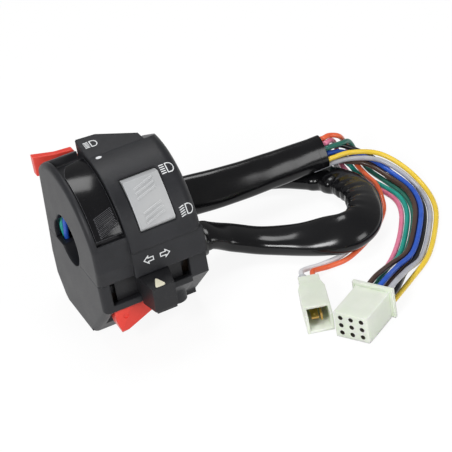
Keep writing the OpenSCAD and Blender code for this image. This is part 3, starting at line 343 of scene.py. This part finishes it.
# Folds across the sleeve: place along the points, angle round it, depth and half width, spread round it
sleeve_folds = [
    (8.6, 165, 1.5, 1.7, 55), (9.4, 178, 2.1, 1.5, 60), (10.1, 155, 1.3, 1.4, 50), (10.7, 180, 1.7, 1.6, 60),
    (11.5, 160, 0.9, 1.9, 55), (12.3, 175, 0.8, 2.3, 60), (19.3, 165, 1.2, 2.6, 60),
    (20.2, 180, 1.8, 2.4, 65), (21.0, 170, 1.2, 2.6, 60),
]
# Raised lip beside a fold: share of its depth, then place and spread in half widths of the fold
fold_lip = (0.4, 1.7, 0.5)
# Slow ripples: height, turn for each millimetre along, turns round the sleeve, shift
sleeve_ripples = [(0.06, 0.13, 2, 0), (0.03, 0.41, -3, 1.3)]
# Lengths over which ripples and folds fade out at the two ends
sleeve_fade = (6, 8)
# Rings of the cut end: how far inside the skin, and how far past the last point
sleeve_cut = [(0.25, 0.12), (0.7, 0.1), (0.9, -1.0), (0.9, -9.0)]


def sleeve():
    """Flattened vinyl sleeve with folds at its bends and an open cut end."""
    steps, sides = 12, 40
    line = smooth_route(sleeve_points, steps)
    last = len(line) - 1
    run = [0.0]
    for a, b in zip(line, line[1:]):
        run.append(run[-1] + (Vector(a[:3]) - Vector(b[:3])).length)
    verts, faces = [], []

    def push(i, angle):
        """How far the skin stands out: slow ripples and the folds near by, fading out at both ends."""
        out = sum(height * math.sin(run[i] * along + turns * angle + shift)
                  for height, along, turns, shift in sleeve_ripples)
        for place, middle, depth, width, spread in sleeve_folds:
            far = abs(run[i] - run[min(round(place * steps), last)]) / width
            beside = abs((math.degrees(angle) + line[i][3] - middle + 180) % 360 - 180) / spread
            if far < 4:
                lip = fold_lip[0] * math.exp(-(far - fold_lip[1]) ** 2 / fold_lip[2])
                crease = lip - math.exp(-far ** 2)
                out += math.exp(-beside ** 2) * depth * crease
        return out * min(1, run[i] / sleeve_fade[0], (run[last] - run[i]) / sleeve_fade[1])

    def ring(i, inset=0.0, along=0.0):
        here = Vector(line[i][:3])
        ahead = (Vector(line[min(i + 1, last)][:3]) - Vector(line[max(i - 1, 0)][:3])).normalized()
        level = ahead.cross(Vector((0, 0, 1))).normalized()
        rise = level.cross(ahead)
        roll, share = math.radians(line[i][3]), line[i][4]
        wide = level * math.cos(roll) + rise * math.sin(roll)
        thick = rise * math.cos(roll) - level * math.sin(roll)
        for s in range(sides):
            a = 2 * math.pi * s / sides
            c, d = math.cos(a), math.sin(a)
            x = math.copysign(abs(c) ** sleeve_corner[0], c) * (share * sleeve_size[0] / 2 - inset)
            y = math.copysign(abs(d) ** sleeve_corner[1], d) * (sleeve_size[1] / 2 - inset)
            out = (wide * c + thick * d).normalized()
            verts.append(here + wide * x + thick * y + out * push(i, a) + ahead * along)

    for i in range(len(line)):
        ring(i)
    for inset, along in sleeve_cut:
        ring(last, inset, along)
    rings = len(verts) // sides
    for i in range(rings - 1):
        for s in range(sides):
            a, b = i * sides + s, i * sides + (s + 1) % sides
            faces.append((a, a + sides, b + sides, b))
    faces.append(tuple(range(sides)))
    faces.append(tuple((rings - 1) * sides + s for s in reversed(range(sides))))
    piece = new_mesh("sleeve", verts, faces, finishes["sleeve_vinyl"])
    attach(piece, "housing")
    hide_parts("cable_sleeve")
    Vector(line[0][:3]) * MM
    route_length(line)
    [Vector(p[:3]) * MM for p in line]


sleeve()


# Geometry Nodes for wires and coils

def sweep_tree(name, inputs):
    """Tree that sweeps a round section along a curve; its caller links the curve and the radius."""
    tree = bpy.data.node_groups.new(name, "GeometryNodeTree")
    keys = {}
    for label, kind in (("Geometry", "Geometry"), *inputs, ("Material", "Material")):
        socket = tree.interface.new_socket(name=label, in_out="INPUT", socket_type="NodeSocket" + kind)
        keys[label] = socket.identifier
    tree.interface.new_socket(name="Geometry", in_out="OUTPUT", socket_type="NodeSocketGeometry")
    given, out = tree.nodes.new("NodeGroupInput"), tree.nodes.new("NodeGroupOutput")
    section = tree.nodes.new("GeometryNodeCurvePrimitiveCircle")
    sweep = tree.nodes.new("GeometryNodeCurveToMesh")
    sweep.inputs["Fill Caps"].default_value = True
    smooth = tree.nodes.new("GeometryNodeSetShadeSmooth")
    real = tree.nodes.new("GeometryNodeRealizeInstances")
    paint = tree.nodes.new("GeometryNodeSetMaterial")
    for a, b in ((section.outputs["Curve"], sweep.inputs["Profile Curve"]),
                 (sweep.outputs[0], smooth.inputs[0]), (smooth.outputs[0], real.inputs[0]),
                 (real.outputs[0], paint.inputs["Geometry"]),
                 (given.outputs["Material"], paint.inputs["Material"]), (paint.outputs[0], out.inputs[0])):
        tree.links.new(a, b)
    return tree, keys, given, section, sweep


def wire_tree():
    """Round insulation along a route."""
    tree, keys, given, section, sweep = sweep_tree("insulated_wire", [("Radius", "Float"), ("Sides", "Int")])
    tree.links.new(given.outputs["Radius"], section.inputs["Radius"])
    tree.links.new(given.outputs["Sides"], section.inputs["Resolution"])
    tree.links.new(given.outputs["Geometry"], sweep.inputs["Curve"])
    return tree, keys


def coil_tree():
    """A wound coil spring standing on its lower end."""
    sizes = [("Radius", "Float"), ("Wire", "Float"), ("Height", "Float"), ("Turns", "Float")]
    tree, keys, given, section, sweep = sweep_tree("coil_spring", sizes)
    wind = tree.nodes.new("GeometryNodeCurveSpiral")
    wind.inputs["Resolution"].default_value = 24
    section.inputs["Resolution"].default_value = 10
    for label, socket in (("Radius", "Start Radius"), ("Radius", "End Radius"), ("Turns", "Rotations"),
                          ("Height", "Height")):
        tree.links.new(given.outputs[label], wind.inputs[socket])
    tree.links.new(given.outputs["Wire"], section.inputs["Radius"])
    tree.links.new(wind.outputs[0], sweep.inputs["Curve"])
    return tree, keys


def grown(name, carrier, tree, keys, values):
    """Plain mesh of a Geometry Nodes tree run on a carrier object, which is removed."""
    scene.collection.objects.link(carrier)
    grow = carrier.modifiers.new("grow", "NODES")
    grow.node_group = tree
    for label, value in values.items():
        grow[keys[label]] = value
    bpy.context.view_layer.update()
    depsgraph = bpy.context.evaluated_depsgraph_get()
    mesh = bpy.data.meshes.new_from_object(carrier.evaluated_get(depsgraph))
    mesh.name = name
    bpy.data.objects.remove(carrier)
    piece = bpy.data.objects.new(name, mesh)
    scene.collection.objects.link(piece)
    return piece


# Wires, along the same routes as their solids

wire_nodes, wire_keys = wire_tree()
wire_d = 2.2
wire_sides = 14
wire_steps = 8


def wire(name, tone, points, node, exit_at):
    """One insulated wire along its route, standing for its solid."""
    line = smooth_route(points, wire_steps)
    data = bpy.data.curves.new(name, "CURVE")
    data.dimensions = "3D"
    spline = data.splines.new("POLY")
    spline.points.add(len(line) - 1)
    for point, p in zip(spline.points, line):
        point.co = (p[0] * MM, p[1] * MM, p[2] * MM, 1)
    sizes = {"Radius": wire_d / 2 * MM, "Sides": wire_sides, "Material": finishes["wire_" + tone]}
    piece = grown(name, bpy.data.objects.new(name + "_route", data), wire_nodes, wire_keys, sizes)
    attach(piece, "housing")
    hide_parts(node)
    Vector(exit_at) * MM
    route_length(line)
    [Vector(p) * MM for p in line]


def turned(v, degrees):
    """First two numbers of a place, turned about the upright axis."""
    a = math.radians(degrees)
    return v[0] * math.cos(a) - v[1] * math.sin(a), v[0] * math.sin(a) + v[1] * math.cos(a)


nine_place = (77, -66, 6)
nine_yaw = 33
column_pitch, row_pitch = 15 * 0.31, 12 * 0.3
two_place = (60, -42, 4.2)
two_yaw = 71.5
blade_off = 2.2
# Last points of a wire, behind its connector
nine_run, two_run = (10, 3, 0), (10.5, 8.2, 6)


def nine_way(along, column, row):
    """Place in line with a way of the nine-way connector, that far behind its rear: x, y and height."""
    x, y = turned((along, -column * column_pitch), nine_yaw)
    return nine_place[0] + x, nine_place[1] + y, nine_place[2] + row * row_pitch


def two_way(along, side):
    """Place in line with a way of the two-way connector, that far behind its shoulders: x, y and height."""
    x, y = turned((along, side * blade_off), two_yaw)
    return two_place[0] + x, two_place[1] + y, two_place[2]


bed = 1.2
lane_middle = [Vector(p) for p in ((127.9, -2), (124.2, -16), (115, -31), (105, -43))]
gather_middle = Vector((94.5, -51.5))
gather_way = Vector((0.586, -0.81))


def lane(off, up, gather, lift):
    """Lane of a wire beside the others on the floor, then its place where they gather."""
    points = []
    for i, middle in enumerate(lane_middle):
        after = (lane_middle + [gather_middle])[i + 1]
        ahead = (after - lane_middle[i - 1]).normalized() if i else Vector((0, -1))
        place = middle + Vector((-ahead.y, ahead.x)) * off
        points.append((place.x, place.y, bed + up))
    place = gather_middle + gather_way * gather
    return points + [(place.x, place.y, bed + lift)]


mouth_x, mouth_run, mouth_inside = 104, 2.5, 7
# Wire: y and height at the sleeve's mouth, bend, lane, column and row of its connector way
nine_wires = {
    "yellow": (25, 14.5, [(115, 24.6, 14), (126, 21, 11), (132.5, 11, 6.7)], (7.3, 0.35, 6.4, 0.2), (1, -1)),
    "grey": (25.3, 11.8, [(114.5, 23.6, 11.6), (124.8, 19.4, 9), (130.7, 10.3, 5.1)],
             (4.8, 0.25, 5, 4.3), (1, 1)),
    "black": (29.8, 17.1, [(114.5, 31.8, 14.2), (125.3, 25, 6.9), (129.2, 12, 2)],
              (2.4, 0.2, 3.4, 2.2), (1, 0)),
    "blue": (27.8, 15.6, [(113.5, 29, 12.6), (123.2, 23.6, 7.9), (127.8, 11.5, 4.4)],
             (1.2, 2.3, 0.6, 5), (0, 1)),
    "brown": (27.8, 12.6, [(112.5, 27, 9.2), (120.8, 22.5, 6.8), (125.6, 10.5, 3.8)],
              (-1.2, 2.3, -3, 5), (-1, 1)),
    "green": (27.4, 18.6, [(113.5, 29.4, 17), (118.6, 32.6, 14), (121.4, 32, 6.5), (122.4, 25, 2.1),
                           (124.4, 11.5, 1.3)], (-2.4, 0, -1.2, 0.2), (0, -1)),
    "teal": (32, 15.7, [(110.5, 33.3, 10.5), (114, 32.6, 7), (116.6, 30.5, 3.6), (117.4, 26, 1.7),
                        (119.6, 18, 1.2), (121.6, 9.5, 1.2)], (-4.8, 0.2, -4.6, 2.6), (-1, 0)),
    "pink": (29.3, 20.1, [(110.8, 33.2, 17.7), (113.6, 36.2, 12), (113.6, 34.2, 5), (114.3, 27, 1.8),
                          (116.6, 18, 1.2), (119.1, 9.3, 1.2)], (-7.2, 0, -6.4, 0.2), (-1, -1)),
    "rust": (30, 14.2, [(112.8, 29.6, 9.8), (123.2, 24.4, 5.6), (126.8, 11.5, 1.4)],
             (0, 0.25, 0.8, 2.4), (0, 0)),
}
# Wire: y and height at the sleeve's mouth, the rest of its route, side of its connector way
two_wires = {
    "orange": (31.3, 21.6, [(109.8, 32.6, 20.9), (114.2, 32.6, 18.7), (117.8, 36, 12.5), (118.8, 34.8, 8),
                            (118.5, 28, 4.8), (118, 17.5, 4.4), (117.4, 8.5, 5.2), (115.4, 0, 4.4),
                            (112, -7.5, 1.6), (101, -18.5, 1.2), (85.5, -27.5, 1.2), (76, -28.7, 1.5),
                            (69.8, -29.3, 2.7), (66.7, -30.5, 3.8)], -1),
    "white": (32.2, 18.9, [(109.2, 35.8, 15), (111, 35.3, 6.5), (111.4, 28.5, 2), (112.2, 18.5, 1.2),
                           (112.9, 9.5, 1.2), (110, -1.5, 1.2), (99, -15.5, 1.2), (84.5, -24, 1.2),
                           (73, -25.3, 1.4), (66.2, -26.2, 2.7), (62.7, -28, 3.9)], 1),
}
# Leads inside the housing, in the part's frame
inner_wires = {
    "teal": [(21, 5, -23), (19.5, 5, -23), (18, 5, -23), (11, 6, -25), (2, 8, -28), (-10, 10, -28),
             (-17, 13, -20), (-19.2, 15.6, -8), (-19.2, 15.8, 1), (-14, 15.5, 9), (-5, 14.5, 13.2),
             (-1.8, 14.3, 14.6), (0, 15.4, 15), (0, 16.7, 15), (0, 18, 15)],
    "blue": [(21, 2.5, -26), (19.5, 2.5, -26), (18, 2.5, -26), (11, 3.2, -28), (2, 5, -31), (-10, 7, -31),
             (-16.5, 10, -23), (-19.2, 13.2, -10), (-19.2, 13.2, -3), (-17.5, 13, 5), (-10, 12.4, 12.6),
             (-2, 12.2, 17.4), (2.2, 13.6, 18.7), (4, 15.4, 19), (4, 16.7, 19), (4, 18, 19)],
    "orange": [(21, 7.5, -26), (19.5, 7.5, -26), (18, 7.5, -26), (11, 8.6, -28), (2, 10.4, -31),
               (-9, 11, -31), (-18.3, 16, -20), (-19.2, 18.2, -9), (-19.2, 18.4, 0), (-15, 17.6, 7.5),
               (-8, 16.5, 9.5), (0, 14.4, 10.2), (4.3, 13.8, 12.8), (6, 15.4, 13.8), (6, 16.7, 13.8),
               (6, 18, 13.8)],
}


def sleeve_wire(tone, y, height, rest):
    """Wire from inside the sleeve's mouth along the rest of its route."""
    start = [(mouth_x + along, y, height) for along in (-mouth_inside, 0, mouth_run / 2, mouth_run)]
    wire("wire_" + tone + "_piece", tone, lifted(start + rest), "wire_" + tone, lifted(start)[1])


for tone, (y, height, bend, offsets, way) in nine_wires.items():
    rest = bend + lane(*offsets) + [nine_way(along, *way) for along in nine_run]
    sleeve_wire(tone, y, height, rest)
for tone, (y, height, bend, side) in two_wires.items():
    rest = bend + [two_way(along, side) for along in two_run]
    sleeve_wire(tone, y, height, rest)
for tone, route in inner_wires.items():
    wire("inner_" + tone + "_piece", tone, route, "inner_wire_" + tone, route[0])


# Springs wound as coils, in place of their plain sleeves

coil_nodes, coil_keys = coil_tree()


def coil(name, node, radius, wire_r, height, turns, place, axis, body):
    """Coil spring from a place along an axis, standing for its solid; sizes in millimetres."""
    seed = bpy.data.objects.new(name + "_seed", bpy.data.meshes.new(name + "_seed"))
    sizes = {"Radius": radius * MM, "Wire": wire_r * MM, "Height": height * MM, "Turns": turns,
             "Material": finishes["spring_steel"]}
    piece = grown(name, seed, coil_nodes, coil_keys, sizes)
    stand = Vector(axis).to_track_quat("Z", "Y").to_matrix().to_4x4()
    piece.data.transform(Matrix.Translation(Vector(place) * MM) @ stand)
    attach(piece, body)
    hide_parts(node)


rocker_x, rocker_pin_r = 5.5, 27
rocker_turn, rocker_tilt = math.radians(90 - 40.5), math.radians(5)
plunger_seat = Vector((0, -6, -1))
tilted_seat = Matrix.Rotation(rocker_tilt, 3, "X") @ plunger_seat
dip_low = Matrix.Rotation(rocker_turn, 3, "X") @ (Vector((0, 0, rocker_pin_r)) + tilted_seat)
dip_out = Matrix.Rotation(rocker_turn + rocker_tilt, 3, "X") @ Vector((0, 0, 1))
coil("horn_coil", "horn_spring", radius=1.9, wire_r=0.28, height=5.4, turns=5.0,
     place=(-8, -20.9, -24.45), axis=(0, 1, 0), body="housing")
coil("dip_coil", "dip_spring", radius=2.0, wire_r=0.28, height=4.1, turns=4.0,
     place=(rocker_x, dip_low.y, dip_low.z), axis=dip_out, body="dip")


# Flat shapes of the signs

pen = 0.42


def stroke(points, width, closed=False):
    """Outline band of a line in a plane: corner pairs and the faces between them."""
    fine = []
    loop = points + points[:1] if closed else points
    for a, b in zip(loop, loop[1:]):
        a, b = Vector(a), Vector(b)
        n = max(1, math.ceil((b - a).length / 0.5))
        fine += [a.lerp(b, k / n) for k in range(n)]
    if not closed:
        fine.append(Vector(points[-1]))
    verts, n = [], len(fine)
    for i, p in enumerate(fine):
        before = p - fine[i - 1] if closed or i else fine[1] - p
        after = fine[(i + 1) % n] - p if closed or i < n - 1 else p - fine[i - 1]
        before, after = before.normalized(), after.normalized()
        ahead = (before + after).normalized()
        side = Vector((-ahead.y, ahead.x)) * width / 2 / max(0.5, ahead.dot(after))
        verts += [p - side, p + side]
    pairs = [(i, (i + 1) % n) for i in range(n if closed else n - 1)]
    return verts, [(2 * i, 2 * j, 2 * j + 1, 2 * i + 1) for i, j in pairs]


def filled(points):
    """Filled shape round its middle."""
    middle = sum((Vector(p) for p in points), Vector((0, 0))) / len(points)
    n = len(points)
    return [Vector(p) for p in points] + [middle], [(i, (i + 1) % n, n) for i in range(n)]


def lamp_sign(slope, height=3.9, depth=2.8):
    """Headlamp: a bowl with its flat side at u 0, and five beams to its left that fall by slope."""
    half, neck, droop, bulge, lip = height / 2, 0.9, 0.15, 0.1, 0.5
    beam_left, beam_right, beams, inset = -2.7, -0.7, 5, 0.1
    bowl = [(0, half), (neck, half)]
    for degrees in range(15, 166, 15):
        t = math.radians(degrees)
        bowl.append((neck + (depth - neck) * math.sin(t), (half + bulge) * math.cos(t) - droop))
    bowl += [(lip, -half - bulge), (0, -half)]
    shapes = [stroke(bowl[::-1], pen, closed=True)]
    for k in range(beams):
        v = half - inset - k * (height - 2 * inset) / (beams - 1)
        fall = (beam_right - beam_left) * slope
        shapes.append(stroke([(beam_left, v - fall), (beam_right, v)], pen))
    return shapes


def arrow_sign(way):
    """Outline arrow with its tip at u 0, pointing along way."""
    line = [(0, 0), (-1.9, 1.75), (-1.75, 0.8), (-4.0, 0.8), (-4.0, -0.8), (-1.75, -0.8), (-1.9, -1.75)]
    line = [(p[0] * way, p[1]) for p in line]
    return [stroke(line if way < 0 else line[::-1], pen, closed=True)]


# Surfaces that the signs lie on: each takes u, v and a height above it, in millimetres

drum_r, drum_round, half_w = 33.5, 5.0, 23.0
panel_front = 32
hood_tilt = math.radians(9)
knob_top, knob_slope = (-0.3, -30.3, -7.6), 0.206


def on_drum(x0, angle):
    """Surface of the drum about a place: u along the bar, v up round it."""
    def surface(u, v, h):
        x = x0 + u
        in_round = max(0.0, x - (half_w - drum_round))
        r = drum_r - drum_round + math.sqrt(drum_round ** 2 - in_round ** 2) + h
        a = math.radians(angle) + v / drum_r
        return x, -r * math.cos(a), r * math.sin(a)
    return surface


def on_panel(x0, z0):
    """Flat arrow panel: u along the bar, v up."""
    return lambda u, v, h: (x0 + u, -panel_front - h, z0 + v)


def on_hood(x0, y0):
    """Sloped top of the hood: u along the bar, v backwards."""
    s, c = math.sin(hood_tilt), math.cos(hood_tilt)
    z0 = drum_r + y0 * math.tan(hood_tilt)
    return lambda u, v, h: (x0 + u, y0 + v * c - h * s, z0 + v * s + h * c)


def on_knob(u, v, h):
    """Sloped top of the turn knob: u along the bar, v towards the front."""
    return knob_top[0] + u, knob_top[1] - v, knob_top[2] - knob_slope * v + h


# Signs printed on the housing and the mark on the knob

def plate(shapes, surface, thickness=0.06):
    """Thin closed plate of flat shapes laid on a surface and sunk into it a little."""
    sunk = -0.04
    verts, faces = [], []
    for flat, cells in shapes:
        start, n = len(verts), len(flat)
        verts += [surface(p.x, p.y, thickness) for p in flat] + [surface(p.x, p.y, sunk) for p in flat]
        edges = {}
        for cell in cells:
            faces.append(tuple(start + i for i in cell))
            faces.append(tuple(start + n + i for i in reversed(cell)))
            for a, b in zip(cell, cell[1:] + cell[:1]):
                edges[(a, b)] = edges.pop((b, a), None) is None
        for (a, b), rim in edges.items():
            if rim and (b, a) not in edges:
                faces.append((start + b, start + a, start + n + a, start + n + b))
    return verts, faces


def sign_piece(name, plates, body, finish_name):
    """One piece of several plates, on a body."""
    verts, faces = [], []
    for plate_verts, plate_faces in plates:
        faces += [tuple(len(verts) + i for i in f) for f in plate_faces]
        verts += plate_verts
    piece = new_mesh(name, verts, faces, finishes[finish_name], smooth=False)
    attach(piece, body)


dot_half = (1.25, 0.8)
dot_turns = [math.radians(degrees) for degrees in range(0, 360, 20)]
dot = [(dot_half[0] * math.cos(a), dot_half[1] * math.sin(a)) for a in dot_turns]
sign_piece("housing_signs", [
    plate(lamp_sign(0.0), on_drum(17.3, 56)),
    plate(lamp_sign(0.27), on_drum(18.3, 25)),
    plate(arrow_sign(-1), on_panel(-3.5, -0.6)),
    plate(arrow_sign(1), on_panel(7.6, -0.6)),
    plate(lamp_sign(0.0, 3.4, 2.6), on_hood(-3.5, 6.5)),
    plate([filled(dot)], on_drum(-4.2, 84.5)),
], "housing", "sign_ink")
wedge = [(-1.3, 4.9), (-0.9, 4.5), (-0.4, 4.9), (1.3, 8.2), (1.2, 8.8), (0.6, 9.0), (-2.4, 9.0), (-2.8, 8.7),
         (-2.7, 8.1)]
sign_piece("knob_mark", [plate([filled(wedge)], on_knob, 0.25)], "turn", "mark_ink")


# Finishes on the solids, with small edge rounds where they are moulded

blackened = {"turn_base_screws": "dark_steel"}
slots = {subpart["node"]: subpart["material_slot"] for subpart in frame["record"]["subparts"]}
for node, piece in frame["nodes"].items():
    piece.data.materials.clear()
    piece.data.materials.append(finishes[blackened.get(node, slots[node])])


def paint_shade_in_ways():
    """Painted shade: darker colour on the walls inside the ways of the nine-way connector, standing for
    their shadow.
    """
    reach, most_along = 1.6, 0.3
    mesh = frame["nodes"]["nine_way_housing"].data
    mesh.materials.append(finishes["painted_way_shade"])
    middle = Vector(lifted([nine_place])[0])
    ways = [(column * column_pitch, row * row_pitch) for column in (-1, 0, 1) for row in (-1, 0, 1)]
    for face in mesh.polygons:
        here = face.center / MM - middle
        across = turned(here, -nine_yaw)[1]
        along = abs(turned(face.normal, -nine_yaw)[0])
        near = min(math.hypot(across - side, here.z - height) for side, height in ways)
        if near < reach and along < most_along:
            face.material_index = 1


def softened(node, width):
    """Rounds a moulded solid's sharp edges by a width in millimetres."""
    piece = frame["nodes"][node]
    join = piece.modifiers.new("join", "WELD")
    join.merge_threshold = 1e-6
    flat = piece.modifiers.new("flat", "DECIMATE")
    flat.decimate_type = "DISSOLVE"
    flat.angle_limit = math.radians(1)
    edge = piece.modifiers.new("edge", "BEVEL")
    edge.width = width * MM
    edge.segments = 3
    edge.limit_method = "ANGLE"
    edge.angle_limit = math.radians(32)
    edge.use_clamp_overlap = True


paint_shade_in_ways()
for node, width in (("turn_knob", 0.7), ("horn_lever", 0.6), ("pass_lever", 0.7), ("dip_rocker", 0.12),
                    ("choke_lever", 0.5), ("nine_way_housing", 0.3), ("two_way_housing", 0.35)):
    softened(node, width)


# Pale floor and soft studio light

def pale_floor():
    """Wide floor that looks nearly white from the camera and in reflections."""
    size, white_share = 3.0, 0.88
    corners = [(x * size, y * size, floor_z) for x, y in ((-1, -1), (1, -1), (1, 1), (-1, 1))]
    mesh = bpy.data.meshes.new("floor")
    mesh.from_pydata(corners, [], [(0, 1, 2, 3)])
    floor = bpy.data.objects.new("floor", mesh)
    scene.collection.objects.link(floor)
    paper = bpy.data.materials.new("pale_floor")
    paper.use_nodes = True
    tree = paper.node_tree
    tree.nodes.clear()
    seen = add(tree, "LightPath").outputs
    direct = add(tree, "Math", {0: seen["Is Camera Ray"], 1: seen["Is Glossy Ray"]}, operation="MAXIMUM")
    either = add(tree, "Math", {0: direct.outputs[0], 1: seen["Is Transmission Ray"]}, operation="MAXIMUM")
    share = add(tree, "Math", {0: either.outputs[0], 1: white_share}, operation="MULTIPLY")
    matt = add(tree, "BsdfDiffuse", {"Color": (0.9, 0.9, 0.9, 1)})
    glow = add(tree, "Emission", {"Color": (1, 1, 1, 1), "Strength": 1.03})
    both = add(tree, "MixShader", {0: share.outputs[0], 1: matt.outputs[0], 2: glow.outputs[0]})
    out = add(tree, "OutputMaterial")
    tree.links.new(both.outputs[0], out.inputs["Surface"])
    mesh.materials.append(paper)


def studio_light():
    """Plain dim room and three soft lamps: place and aim in metres, width, power in watts."""
    world = bpy.data.worlds.new("studio")
    scene.world = world
    world.use_nodes = True
    tree = world.node_tree
    tree.nodes.clear()
    room = add(tree, "Background", {"Color": (1, 1, 1, 1), "Strength": 0.28})
    out = add(tree, "OutputWorld")
    tree.links.new(room.outputs[0], out.inputs["Surface"])
    for name, place, aim, wide, power in (
            ("key_left", (-0.7, -0.55, 0.65), (0.0, 0.0, -0.02), 0.3, 6.2),
            ("top_soft", (0.1, 0.25, 0.9), (0.03, 0.0, -0.03), 0.4, 3.4),
            ("front_fill", (0.5, -0.9, 0.35), (0.04, 0.0, -0.02), 0.4, 2.8)):
        data = bpy.data.lights.new(name, "AREA")
        data.shape, data.size, data.energy = "SQUARE", wide, power
        lamp = bpy.data.objects.new(name, data)
        lamp.location = place
        lamp.rotation_euler = (Vector(aim) - Vector(place)).to_track_quat("-Z", "Y").to_euler()
        scene.collection.objects.link(lamp)


pale_floor()
studio_light()
